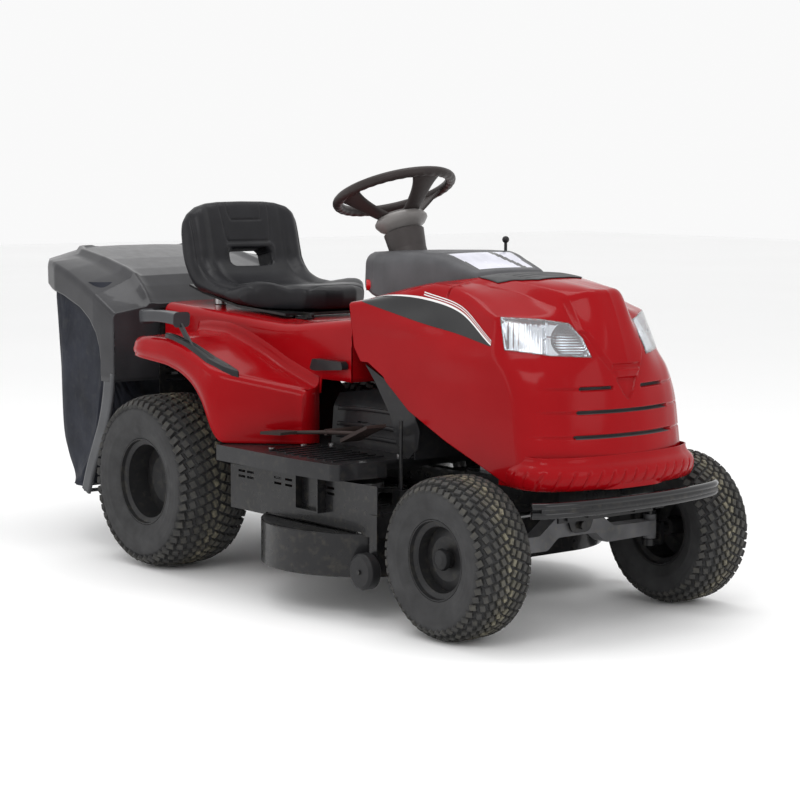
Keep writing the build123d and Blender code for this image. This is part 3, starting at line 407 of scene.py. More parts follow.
def hood_field(x, y, z):
    """Below zero inside the hood: three faces meeting in soft edges, with the crease, ridge and slots."""
    wide = np.abs(y)
    side = wide - SIDE_HALF(z, x)
    ridge = np.minimum(np.interp(x, (0.60, 0.80, 0.90), (0.150, 0.112, 0.096)),
                       np.interp(z, (0.605, 0.65, 0.70, 0.75), (0.040, 0.070, 0.086, 0.2)))
    raised = 0.007 * np.clip((ridge - wide) / 0.012, -1, 1) * unit((x - 0.56) / 0.15)
    top = z - TOP_HEIGHT(wide, x) - raised
    front_raise = 0.010 * unit((ridge - wide) / 0.010) * gate(z, 0.605, 0.9, 0.02)
    recess = 0.016 * slot_cut(y, z) + 0.004 * slot_groove(y, z)
    shield = np.maximum(wide - SHIELD_HALF * unit((z - SHIELD_LOW) / 0.05) ** 0.6, z - SHIELD_TOP)
    recess = recess + 0.007 * unit(-shield / 0.004) * (z > 0.545)
    notch = gate(wide, -1, 0.044, 0.004) * gate(z, 0.618, 0.630, 0.004)
    front = x - NOSE_REACH(wide, z) - front_raise + recess + 0.006 * notch
    return soft_corner(soft_corner(side, top), front)


def cast(start, direction, reach=0.9):
    """Where each ray from start, a row of points inside the hood, meets its skin, found by halving."""
    low = np.zeros(len(start))
    high = np.full(len(start), reach)
    for _ in range(26):
        middle = (low + high) / 2
        point = start + direction * middle[:, None]
        inside = hood_field(*point.T) < 0
        low = np.where(inside, middle, low)
        high = np.where(inside, high, middle)
    return start + direction * low[:, None]


def trim_height(x):
    """The hood's lower edge, falling forwards from behind the leg shield to the lip."""
    return np.interp(x, (0.34, 0.43, 0.539, 0.677, 0.901, 0.93, 1.2),
                     (0.598, 0.568, 0.492, 0.433, 0.352, 0.350, 0.350))


DASH_EDGE_X = (0.29, 0.45, 0.52, 0.585, 0.615, 0.632, 0.64)
DASH_EDGE_Y = (0.155, 0.151, 0.147, 0.134, 0.124, 0.105, 0.0)


def hood_slices():
    """Points of the hood's left half: upright slices from the trim up to the middle or to the dash."""
    middle = 0.64
    side = np.concatenate((np.linspace(HOOD_REAR, 0.60, 90), np.linspace(0.603, NOSE_PIVOT, 50)))
    heading = np.radians(np.concatenate((np.full(len(side), 90.0), np.linspace(90, 0, 190)[1:])))
    origin = np.concatenate((side, np.full(len(heading) - len(side), NOSE_PIVOT)))
    count = len(origin)
    start = np.column_stack((origin, np.zeros(count), np.zeros(count)))
    out = np.column_stack((np.cos(heading), np.sin(heading), np.zeros(count)))
    low = trim_height(origin)
    for _ in range(6):
        low = trim_height(cast(start + low[:, None] * UP, out)[:, 0])
    lift = np.linspace(0, 1, 130)
    z = low[:, None] + (middle - low[:, None]) * lift
    base = start[:, None] + z[..., None] * UP
    wall = cast(base.reshape(-1, 3), np.repeat(out, len(lift), 0)).reshape(count, -1, 3)
    straight = heading > 1.57
    edge_y = np.where(origin < DASH_FOOT, np.interp(origin, DASH_EDGE_X, DASH_EDGE_Y), 0) * straight
    hub = start + middle * UP
    first, last = np.zeros(count), np.full(count, math.pi / 2)
    for _ in range(20):
        half = (first + last) / 2
        ray = out * np.cos(half)[:, None] + np.sin(half)[:, None] * UP
        outside = cast(hub, ray)[:, 1] > edge_y
        first, last = np.where(outside, half, first), np.where(outside, last, half)
    stop = np.where(edge_y > 0, first, math.pi / 2)
    angle = stop[:, None] * np.linspace(0, 1, 121)[1:]
    ray = np.cos(angle)[..., None] * out[:, None] + np.sin(angle)[..., None] * UP
    crown = cast(np.repeat(hub, 120, 0), ray.reshape(-1, 3)).reshape(count, -1, 3)
    points = np.concatenate((wall, crown), axis=1)
    lean = np.interp(points[..., 2], (0.596, 0.632, 0.738), (0.049, 0.020, 0.0))
    points[..., 0] += lean * (unit(1 - (origin - HOOD_REAR) / 0.152) * straight)[:, None]
    return points




def mesh_piece(name, points, faces, body, looks, marks=None, smooth=True):
    """A mesh in the row frame that rides on a body. looks names its finishes, marks picks one per face."""
    mesh = bpy.data.meshes.new(name)
    mesh.from_pydata([tuple(p) for p in points], [], [tuple(int(i) for i in f) for f in faces])
    for look in looks:
        mesh.materials.append(finishes[look])
    mesh.polygons.foreach_set("use_smooth", [smooth] * len(mesh.polygons))
    if marks is not None:
        mesh.polygons.foreach_set("material_index", [int(m) for m in marks])
    mesh.update()
    piece = bpy.data.objects.new(name, mesh)
    bpy.context.scene.collection.objects.link(piece)
    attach(piece, body)
    return piece


def lattice(rows, columns, wrap_rows=False, wrap_columns=False):
    """Faces of a grid of rows x columns points."""
    faces = []
    for i in range(rows if wrap_rows else rows - 1):
        for j in range(columns if wrap_columns else columns - 1):
            k, m = (i + 1) % rows, (j + 1) % columns
            faces.append((i * columns + j, k * columns + j, k * columns + m, i * columns + m))
    return faces


def add_modifier(piece, kind, **settings):
    modifier = piece.modifiers.new(kind.lower(), kind)
    for key, value in settings.items():
        setattr(modifier, key, value)


def end_caps(rows, count):
    """Faces that close the two ends of a tube of rows rings with count points each."""
    return [tuple(range(count))[::-1], tuple(range((rows - 1) * count, rows * count))]


def mirror_faces(points, faces):
    """The same faces on the other side of the middle plane."""
    count = len(points)
    flipped = np.array(points) * (1, -1, 1)
    return np.vstack((points, flipped)), list(faces) + [tuple(i + count for i in reversed(f)) for f in faces]


def inside_lamp(points, grow):
    """Which points of the hood's corner lie in the lamp's outline, seen square to the corner face."""
    forward, sideways, _ = CORNER_FACING
    along = points[:, 0] * forward - np.abs(points[:, 1]) * sideways
    height = points[:, 2]
    corners = [(x * forward - y * sideways, z) for x, y, z in LAMP_OUTLINE]
    inside = np.ones(len(points), bool)
    for (a, p), (b, q) in zip(corners, corners[1:] + corners[:1]):
        length = math.hypot(b - a, q - p)
        inside &= ((b - a) * (height - p) - (q - p) * (along - a)) / length < grow
    return inside & (points[:, 0] > 0.8)


LAMP_OUTLINE = ((0.846, 0.237, 0.737), (0.900, 0.160, 0.732), (0.936, 0.103, 0.722), (0.970, 0.092, 0.690),
                (0.998, 0.088, 0.646), (0.950, 0.172, 0.650), (0.868, 0.243, 0.662))
CORNER_FACING = (0.66, 0.75, 0.10)


def build_hood():
    grid = hood_slices()
    rows, columns = grid.shape[:2]
    points = grid.reshape(-1, 3)
    faces = np.array(lattice(rows, columns))[:, ::-1]
    centres = points[faces].mean(1)
    faces = faces[~inside_lamp(centres, -0.002)]
    centres = points[faces].mean(1)
    # Faces at the floors of the nose slots take the dark grey vent finish: painted shade standing in for the
    # dark inside the open slots.
    dark = slot_cut(centres[:, 1], centres[:, 2]) * (centres[:, 0] > 0.9) > 0.5
    all_points, all_faces = mirror_faces(points, [tuple(f) for f in faces])
    shell = mesh_piece("hood_shell", all_points, all_faces, "bonnet", ("red_body", "vent_plastic"),
                       np.concatenate((dark, dark)))
    add_modifier(shell, "WELD", merge_threshold=0.00005)
    add_modifier(shell, "SOLIDIFY", thickness=SKIN, offset=-1)
    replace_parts(shell, "hood")


def skin_patch(outline_low, outline_high, count, across, lift):
    """A strip laid on the hood between two lines given as (x, z) points, standing lift proud of it."""
    t = np.linspace(0, 1, count)

    def sample(line):
        keys = np.linspace(0, 1, len(line))
        return np.column_stack((smooth_line(keys, line[:, 0], t), smooth_line(keys, line[:, 1], t)))

    bottom, top = (sample(np.array(line)) for line in (outline_low, outline_high))
    share = np.linspace(0, 1, across)[:, None, None]
    flat = bottom + (top - bottom) * share
    x, z = flat[..., 0].ravel(), flat[..., 1].ravel()
    start = np.column_stack((x, np.full(len(x), 0.05), z))
    return cast(start, np.array((0.0, 1.0, 0.0)), 0.3) + (0, lift, 0.3 * lift), lattice(across, count)


CRESCENT_LOW = ((0.330, 0.748), (0.45, 0.727), (0.60, 0.704), (0.72, 0.687), (0.828, 0.668))
CRESCENT_HIGH = ((0.332, 0.750), (0.42, 0.764), (0.55, 0.762), (0.70, 0.736), (0.829, 0.670))


def shifted(line, start, end):
    """The line raised, by start at its rear and end at its front."""
    return [(x, z + start + (end - start) * i / (len(line) - 1)) for i, (x, z) in enumerate(line)]


def build_decal():
    """The black crescent along the hood's crease, its white edge and two fine stripes ahead of it."""
    edge = shifted(CRESCENT_HIGH, 0.002, 0.002)[:2] + shifted(CRESCENT_HIGH, 0.006, 0.004)[2:]
    ahead = CRESCENT_HIGH[2:]
    strips = (
        (CRESCENT_LOW, CRESCENT_HIGH, "decal_black", 0.0007),
        (CRESCENT_HIGH, edge, "decal_white", 0.0008),
        (shifted(ahead, 0.010, 0.006), shifted(ahead, 0.0125, 0.0075), "decal_white", 0.0008),
        (shifted(ahead, 0.0155, 0.010), shifted(ahead, 0.018, 0.0115), "decal_white", 0.0008),
    )
    for i, (low, high, colour, lift) in enumerate(strips):
        points, faces = skin_patch(low, high, 80, 10, lift)
        points, faces = mirror_faces(points, faces)
        piece = mesh_piece(f"hood_stripe_{i}", points, faces, "bonnet", [colour])


LIP_PATH = ((0.862, -0.252), (0.930, -0.251), (0.985, -0.240), (1.022, -0.190), (1.043, -0.110), (1.050, 0.0))
LIP_OUT = (0.000, 0.001, 0.005, 0.012, 0.0175, 0.0205, 0.0205, 0.018, 0.013, 0.006, -0.004)
LIP_HEIGHT = (0.424, 0.416, 0.408, 0.401, 0.394, 0.384, 0.373, 0.362, 0.353, 0.348, 0.347)
FLUTE_PITCH, FLUTE_DEPTH = 0.034, 0.0042


def build_lip():
    """The flared, fluted lower edge of the nose, its lower roll kept clear of the hood's hinge."""
    around = np.linspace(0, 1, 421)
    path = round_the_nose(LIP_PATH)
    keys = np.array((0, 0.14, 0.27, 0.46, 0.70, 1.0)) / 2
    keys = np.concatenate((keys, 1 - keys[-2::-1]))
    path_x, path_y = (smooth_line(keys, values, around) for values in path.T)
    tangent = np.column_stack((np.gradient(path_x), np.gradient(path_y)))
    tangent /= np.linalg.norm(tangent, axis=1)[:, None]
    normal = np.column_stack((tangent[:, 1], -tangent[:, 0]))
    keys = np.linspace(0, 1, 11)
    fine = np.linspace(0, 1, 41)
    section = tuple(zip(smooth_line(keys, LIP_OUT, fine), smooth_line(keys, LIP_HEIGHT, fine)))
    fade = eased(unit(np.minimum(around, 1 - around) / 0.09))
    run = run_length(np.column_stack((path_x, path_y)))
    clear = eased(unit((0.135 - np.abs(path_y)) / 0.085))
    least = 0.014 * clear - 0.004 * (1 - clear)
    points = []
    for out, z in section:
        wave = np.cos(math.pi * run / FLUTE_PITCH + (LIP_HEIGHT[0] - z) * 40) ** 2
        flute = -FLUTE_DEPTH * unit((0.396 - z) / 0.012) * unit((z - 0.348) / 0.006) * np.exp(-wave / 0.07)
        reach = np.maximum((out + flute) * fade - 0.002, least if z < 0.36 else -1)
        height = z + (1 - fade) * (0.356 - z) * 0.4
        points.append(np.column_stack((path_x + normal[:, 0] * reach, path_y + normal[:, 1] * reach, height)))
    points = np.array(points).reshape(-1, 3)
    piece = mesh_piece("hood_lip", points, lattice(len(section), len(around)), "bonnet", ["red_body"])
    add_modifier(piece, "SOLIDIFY", thickness=0.0025, offset=-1)


def lamp_sheet(lift, shrink, count=40, layers=12):
    """A sheet over the right lamp's outline, following the hood's corner."""
    corners = np.array(LAMP_OUTLINE)
    middle = corners.mean(0)
    ring = []
    for a, b in zip(corners, np.roll(corners, -1, 0)):
        ring += [a + (b - a) * t for t in np.linspace(0, 1, count // 4)[:-1]]
    ring = np.array(ring)
    ring = middle + (ring - middle) * shrink
    flat = np.array([middle + (ring - middle) * s for s in np.linspace(0.02, 1, layers)]).reshape(-1, 3)
    outward = np.array(CORNER_FACING)
    outward /= np.linalg.norm(outward)
    points = (cast(flat - outward * 0.12, outward, 0.3) + outward * lift) * (1, -1, 1)
    return points, lattice(layers, len(ring), wrap_columns=True)


LAMP_SPLIT = 0.50  # share of the lamp's width where the ribbed outer part ends
ROUND_LAMP = (0.78, 0.686)  # middle of the round bowl: share of the width, and height


def build_lamps():
    """Clear covers over a faceted bowl with a round inner lamp and a ribbed outer one."""
    for side, sign in (("right", 1), ("left", -1)):
        points, faces = lamp_sheet(0.0008, 1.0)
        cover = mesh_piece("lamp_cover_" + side, points * (1, sign, 1), faces, "bonnet", ["lamp_lens"])
        add_modifier(cover, "SOLIDIFY", thickness=0.002, offset=0)
        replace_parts(cover, "headlamp_" + side)
        points, faces = lamp_sheet(-0.006, 0.985, 160, 60)
        across = points[:, 0] * 0.65 + points[:, 1] * 0.76
        across = (across - across.min()) / (across.max() - across.min())
        inward = np.array((-0.66, 0.75, -0.10))
        inner = np.hypot((across - ROUND_LAMP[0]) / 0.24, (points[:, 2] - ROUND_LAMP[1]) / 0.042)
        ribbed = across < LAMP_SPLIT
        ribs = 0.003 * (0.5 + 0.5 * np.cos(across * 2 * math.pi * 17)) * ribbed
        depth = np.where(ribbed, 0.010, 0.006 + 0.026 * np.sqrt(unit(1 - inner**2))) + ribs
        depth += 0.0008 * np.cos(points[:, 2] * 2 * math.pi / 0.006) * (inner < 0.9)
        depth = np.where(np.abs(across - LAMP_SPLIT) < 0.018, 0.002, depth)
        points = (points + inward * depth[:, None]) * (1, sign, 1)
        bowl = mesh_piece("lamp_bowl_" + side, points, faces, "bonnet", ["reflector"])
        add_modifier(bowl, "SOLIDIFY", thickness=0.001, offset=-1)
        if side == "right":
            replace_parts(bowl, "lamp_reflectors")


# ---- wheels ------------------------------------------------------------------------------

TYRE_CROWN = ((0.0, 0.0075), (0.15, 0.0082), (0.29, 0.0105), (0.38, 0.018), (0.44, 0.030))
TYRE_WALL = ((0.478, 0.30), (0.495, 0.48), (0.488, 0.66), (0.462, 0.82))
TREAD_ROWS = ((0.10, 0.0125), (0.29, 0.0145), (0.50, 0.0145), (0.71, 0.016), (0.90, 0.020))  # place, length
BLOCK_HEIGHT = 0.0074
TYRES = (  # end, hub x and y, radius, width, bead radius, pitch of the blocks
    ("front", 0.845, 0.361, 0.190, 0.160, 0.094, 0.0245),
    ("rear", -0.345, 0.358, 0.233, 0.220, 0.116, 0.0285),
)


def tyre_line(radius, width, bead):
    """Half cross-section of the carcass between its treads: (y, r) from the middle out to the bead."""
    depth = radius - bead
    crown = [(share * width, radius - drop) for share, drop in TYRE_CROWN]
    wall = [(share * width, radius - drop * depth) for share, drop in TYRE_WALL]
    return np.array(crown + wall + [(0.436 * width, bead + 0.008), (0.418 * width, bead + 0.001)])


def grow_line(line, count):
    """count evenly spaced points on a smooth curve through the line's points."""
    keys = run_length(line)
    at = np.linspace(0, keys[-1], count)
    return np.column_stack((smooth_line(keys, line[:, 0], at), smooth_line(keys, line[:, 1], at)))


def tread_block(y, angle, radius, slope, size, height, twist):
    """Eight corners of one block, tapered, standing on the carcass. Coordinates are (y, r, angle)."""
    corners = []
    for up, shrink in ((-0.002, 1.0), (height, 0.80)):
        for a, b in ((-1, -1), (1, -1), (1, 1), (-1, 1)):
            u = a * size[0] / 2 * shrink
            v = b * size[1] / 2 * shrink
            along = u * math.cos(twist) - v * math.sin(twist)
            across = u * math.sin(twist) + v * math.cos(twist)
            place_y = y + across * math.cos(slope) + up * math.sin(slope)
            place_r = radius - across * math.sin(slope) + up * math.cos(slope)
            corners.append((place_y, place_r, angle + along / radius))
    return corners


def build_tyre(name, node, body, centre, radius, width, bead, pitch):
    """Turf tyre: bulged carcass with moulded rings on its walls, and rows of small blocks in a chevron."""
    half = grow_line(tyre_line(radius, width, bead), 44)
    wall = (half[:, 1] - bead) / (radius - bead)
    half[:, 0] += 0.0011 * (np.abs(wall - 0.30) < 0.035) + 0.0009 * (np.abs(wall - 0.58) < 0.02)
    line = np.vstack((half[::-1] * (-1, 1), half[1:]))
    turns = 144
    points = []

    def place(y, r, angle):
        points.append((centre[0] + r * math.sin(angle), centre[1] + y, centre[2] + r * math.cos(angle)))

    for angle in np.linspace(0, 2 * math.pi, turns, endpoint=False):
        for y, r in line:
            place(y, r, angle)
    grime = [0.0] * len(points)
    faces = lattice(turns, len(line), wrap_rows=True)
    steepness = np.arctan2(-np.gradient(half[:, 1]), np.gradient(half[:, 0]))
    rows = [(-share, reach) for share, reach in reversed(TREAD_ROWS)] + list(TREAD_ROWS)
    count = round(2 * math.pi * radius / pitch)
    for share, reach in rows:
        y = share * width / 2
        index = int(np.argmin(np.abs(half[:22, 0] - abs(y))))
        r, slope = half[index, 1], math.copysign(steepness[index], y)
        lead = abs(share) * 1.6
        size = (pitch * (0.66 if abs(share) > 0.8 else 0.74), reach * width / 0.16 * 0.86)
        for k in range(count):
            angle = (k + lead + (0.5 if share > 0 else 0)) * 2 * math.pi / count
            start = len(points)
            for corner in tread_block(y, angle, r, slope, size, BLOCK_HEIGHT, math.copysign(0.42, -share)):
                place(*corner)
            tone = max(0.12, 1 - abs(share) * 2.4) * (0.7 + 0.3 * math.sin(k * 2.3 + share * 9))
            grime += [0.0] * 4 + [tone] * 4
            faces.append((start + 4, start + 7, start + 6, start + 5))
            faces += [(start + i, start + 4 + i, start + 4 + (i + 1) % 4, start + (i + 1) % 4)
                      for i in range(4)]
    piece = mesh_piece(name, points, [f[::-1] for f in faces], body, ["tyre_worn"], smooth=False)
    carcass = turns * (len(line) - 1)
    piece.data.polygons.foreach_set("use_smooth", [i < carcass for i in range(len(faces))])
    piece.data.attributes.new("grime", "FLOAT", "POINT").data.foreach_set("value", grime)
    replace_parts(piece, node)


def worn_tyre_finish():
    """Grey weathered rubber, with dried grass and soil on the block tops near the middle of the tread."""
    material = finish("tyre_worn", (0.036, 0.036, 0.037), 0.66, vary=0.2, patch=22, grain=(420, 0.35, 0.0006))
    tree = material.node_tree
    shader = tree.nodes["Principled BSDF"]
    tone = shader.inputs["Base Color"].links[0].from_socket
    mask = tree.nodes.new("ShaderNodeAttribute")
    mask.attribute_name = "grime"
    fleck = ramp(tree, noise_node(tree, 95, 6), (0.25,) * 3, (1.0,) * 3, 0.35, 0.6)
    amount = tree.nodes.new("ShaderNodeMath")
    amount.operation = "MULTIPLY"
    wire(tree, mask.outputs["Fac"], amount.inputs[0])
    wire(tree, fleck, amount.inputs[1])
    soil = ramp(tree, noise_node(tree, 40, 4), (0.16, 0.15, 0.10), (0.30, 0.27, 0.19))
    wire(tree, mixed(tree, amount.outputs[0], tone, soil), shader.inputs["Base Color"])
    return material


def build_wheels():
    finishes["tyre_worn"] = worn_tyre_finish()
    for side, sign in (("right", -1), ("left", 1)):
        for end, x, y, radius, width, bead, pitch in TYRES:
            body = f"wheel_{end[0]}{side[0]}"
            build_tyre(f"tread_{end}_{side}", f"{end}_tyre_{side}", body, (x, sign * y, radius), radius,
                       width, bead, pitch)


# ---- seat --------------------------------------------------------------------------------

SEAT_LINE = ((-0.048, 0.722), (-0.075, 0.727), (-0.14, 0.7285), (-0.22, 0.7265), (-0.32, 0.7285),
             (-0.41, 0.742), (-0.470, 0.762), (-0.502, 0.800), (-0.516, 0.850), (-0.524, 0.905),
             (-0.530, 0.955), (-0.531, 0.977))
SEAT_HALF = (0.028, 0.031, 0.032, 0.028, 0.020, 0.021, 0.034, 0.034, 0.036, 0.032, 0.024, 0.018)
SEAT_WIDE = 0.197  # half the seat's width
HAND_HOLE = (0.778, 0.838, 0.069)  # bottom, top and half width
HOLE_CORNER = 0.016
HALF_ACROSS = (0, 0.05, 0.10, 0.15, 0.18, 0.19, SEAT_WIDE)
FRONT_SHARE = (1, 0.975, 0.87, 0.63, 0.43, 0.36, 0.28)
TOP_ACROSS = (0, 0.08, 0.12, 0.15, 0.175, 0.19, SEAT_WIDE)
TOP_SHARE = (1, 0.992, 0.97, 0.92, 0.82, 0.70, 0.56)
OUTER_SEAM = ((0.083, 1.0), (0.083, 0.948), (0.076, 0.872), (0.070, 0.860))
INNER_SEAM = ((0.058, 1.0), (0.058, 0.945), (0.050, 0.922))
PANEL_SEAM = ((-0.092, -0.02), (-0.092, -0.088), (0.092, -0.088), (0.092, -0.02))


def near_line(a, b, corners):
    """Distance from each (a, b) to a run of straight lines."""
    best = np.full(np.shape(a), 1e9)
    for (p, q), (r, s) in zip(corners[:-1], corners[1:]):
        length = (r - p) ** 2 + (s - q) ** 2
        t = unit(((a - p) * (r - p) + (b - q) * (s - q)) / length)
        best = np.minimum(best, np.hypot(a - p - t * (r - p), b - q - t * (s - q)))
    return best


def seat_skins():
    """Front and back skins of the seat on one grid, s from the front edge up to the top and t across."""
    line = np.array(SEAT_LINE)
    keys = run_length(line)
    keys /= keys[-1]
    s = 0.5 - 0.5 * np.cos(np.linspace(0, math.pi, 230))
    s = 0.35 * s + 0.65 * np.linspace(0, 1, 230)
    t = np.sin(np.linspace(-math.pi / 2, math.pi / 2, 170))
    s, t = np.meshgrid(s, t, indexing="ij")
    flat = s.ravel()
    x, z, half = (smooth_line(keys, values, flat).reshape(s.shape) for values in (*line.T, SEAT_HALF))
    dx, dz = np.gradient(x, axis=0), np.gradient(z, axis=0)
    size = np.hypot(dx, dz)
    nx, nz = dz / size, -dx / size
    nx, nz = np.where(nz + nx * 0.6 < 0, -nx, nx), np.where(nz + nx * 0.6 < 0, -nz, nz)
    y = SEAT_WIDE * t
    wide = np.abs(y)
    edge = np.sqrt(unit(1 - np.abs(t) ** 9)) * np.sqrt(unit(1 - np.abs(2 * s - 1) ** 44))
    x = np.where(x > -0.33, -0.33 + (x + 0.33) * np.interp(wide, HALF_ACROSS, FRONT_SHARE), x)
    z = np.where(z > 0.80, 0.80 + (z - 0.80) * np.interp(wide, TOP_ACROSS, TOP_SHARE), z)
    back = unit((z - 0.78) / 0.05)
    bolster = 0.010 * bell(wide - 0.160, 0.024) - 0.005 * bell(wide, 0.10)
    crown = 0.004 * unit(1 - (wide / 0.12) ** 2) * unit((x + 0.40) / 0.1)
    front = half + bolster + crown
    outer, inner = (list(seam) + [(-a, b) for a, b in reversed(seam)] for seam in (OUTER_SEAM, INNER_SEAM))
    seam = np.minimum(near_line(y, z, outer), near_line(y, z, inner)) + (back < 0.5)
    panel = near_line(y, x, PANEL_SEAM) + (back > 0.5)
    groove = 0.0042 * bell(seam, 0.0026) + 0.0035 * bell(panel, 0.0026) + 0.006 * bell(wide - 0.178, 0.0036)
    groove = groove + 0.003 * bell(wide - 0.122, 0.010)
    lip = np.hypot(unit(wide - HAND_HOLE[2]), unit(np.abs(z - 0.808) - 0.030))
    ring = 0.004 * bell(lip - 0.010, 0.006) * back
    front = (front - groove + ring) * edge
    rear = (half + 0.002) * edge
    upper = np.stack((x + nx * front, y, z + nz * front), -1)
    return upper, np.stack((x - nx * rear, y, z - nz * rear), -1), z, wide


def build_seat():
    """Vinyl seat: two skins closed at the rim, with a tunnel through the back for a hand."""
    front, rear, z, wide = seat_skins()
    rows, columns = z.shape
    faces = lattice(rows, columns)
    centre_z = (z[:-1, :-1] + z[1:, 1:]) / 2
    centre_y = (wide[:-1, :-1] + wide[1:, 1:]) / 2
    low, high, reach = HAND_HOLE
    over_y = unit(centre_y - (reach - HOLE_CORNER))
    over_z = unit(np.abs(centre_z - (low + high) / 2) - ((high - low) / 2 - HOLE_CORNER))
    hole = (np.hypot(over_y, over_z) < HOLE_CORNER) & (np.arange(rows - 1)[:, None] > rows * 0.4)
    keep = [f for f, cut in zip(faces, hole.ravel()) if not cut]
    count = rows * columns
    points = np.vstack((front.reshape(-1, 3), rear.reshape(-1, 3)))
    all_faces = [f[::-1] for f in keep] + [tuple(i + count for i in f) for f in keep]
    edges = dict.fromkeys((a, b) for f in keep for a, b in zip(f, f[1:] + f[:1]))
    all_faces += [(a, b, b + count, a + count) for a, b in edges if (b, a) not in edges]
    piece = mesh_piece("seat_skin", points, all_faces, "seat", ["seat_vinyl"])
    add_modifier(piece, "WELD", merge_threshold=0.0004)
    add_modifier(piece, "SMOOTH", factor=0.5, iterations=2)
    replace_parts(piece, "seat_cushion")


# ---- rear body ---------------------------------------------------------------------------

FENDER_TOP = ((-0.388, 0.625), (-0.33, 0.631), (-0.235, 0.630), (-0.16, 0.616), (-0.105, 0.600),
              (-0.04, 0.578), (0.02, 0.555), (0.10, 0.532), (0.165, 0.514))
FENDER_HALF = ((-0.388, 0.446), (-0.37, 0.455), (-0.34, 0.460), (-0.04, 0.460), (-0.01, 0.455),
               (0.02, 0.434), (0.165, 0.287))
ARCH_LINE = ((-0.388, 0.571), (-0.215, 0.558), (-0.15, 0.544), (-0.10, 0.522), (-0.062, 0.492),
             (-0.036, 0.456), (-0.018, 0.415), (-0.004, 0.3735), (0.165, 0.3735))
PEDESTAL_TOP = ((-0.565, 0.6995), (-0.235, 0.683), (-0.12, 0.6755), (-0.025, 0.6715), (0.04, 0.674),
                (0.297, 0.7015))


FENDER_REAR, FENDER_INNER = -0.374, 0.2405
PEDESTAL_REAR, PEDESTAL_FRONT, PEDESTAL_HALF, PEDESTAL_LOW = -0.549, 0.297, 0.2400, 0.540


def lookup(line, at):
    """Values of a run of (x, value) corners, with each corner eased by a short moving average."""
    line = np.array(line)
    shifts = np.linspace(-0.018, 0.018, 9)
    return np.mean([np.interp(np.clip(at + s, line[0, 0], line[-1, 0]), line[:, 0], line[:, 1])
                    for s in shifts], axis=0)


def fender_section(x):
    """(y, z) from the pedestal wall over the top and down the outer side of one fender."""
    top, half, low = (float(lookup(line, x)) for line in (FENDER_TOP, FENDER_HALF, ARCH_LINE))
    low = min(low, top - 0.03)
    section = [(FENDER_INNER, top + 0.030), (0.2425, top + 0.016), (0.247, top + 0.007),
               (0.256, top + 0.001), (0.268, top - 0.001)]
    flat = np.linspace(0.280, max(half - 0.026, 0.281), 8)
    section += [(y, top - 0.001 - 0.003 * (y - 0.28) / 0.15) for y in flat]
    edge = top - 0.004
    section += [(half - 0.026 + 0.026 * out, edge - 0.022 * down) for out, down in rounding()]
    for t in np.linspace(0, 1, 12):
        bow = 0.0045 * math.sin(math.pi * t) - 0.002 * t
        section.append((half + bow, edge - 0.022 + (low + 0.007 - edge + 0.022) * t))
    section += [(half - 0.0005, low + 0.002), (half - 0.005, low), (half - 0.016, low + 0.001)]
    return np.array(section)


def build_fenders():
    """Both rear fenders: a rounded tail, the stations forwards of it, and a closing face at the front."""
    stations = np.concatenate((np.linspace(FENDER_REAR, 0.150, 132), np.linspace(0.153, 0.163, 4)))
    rows = []
    tail = fender_section(FENDER_REAR)
    for turn in np.linspace(math.pi / 2, 0, 7)[:-1]:
        back = 0.014 * (1 - math.cos(turn))
        row = tail.copy()
        row[:, 0] = np.minimum(row[:, 0], row[:, 0] - back * unit((row[:, 0] - 0.40) / 0.05))
        row[:, 1] = row[:, 1] - back * unit((row[:, 1] - 0.585) / 0.03)
        rows.append(at_station(FENDER_REAR - 0.014 * math.sin(turn), row))
    closing = rows[0].copy()
    closing[:, 2] = np.minimum(closing[:, 2], 0.5715)
    rows.insert(0, closing)
    rows += [at_station(x, fender_section(x)) for x in stations]
    last = rows[-1].copy()
    last[:, 1] = FENDER_INNER
    rows.append(last)
    points = np.array(rows).reshape(-1, 3)
    faces = lattice(len(rows), len(rows[0]))
    points, faces = mirror_faces(points, faces)
    piece = mesh_piece("fender_skin", points, faces, "chassis", ["red_body"])
    add_modifier(piece, "SOLIDIFY", thickness=SKIN, offset=-1)
    return piece


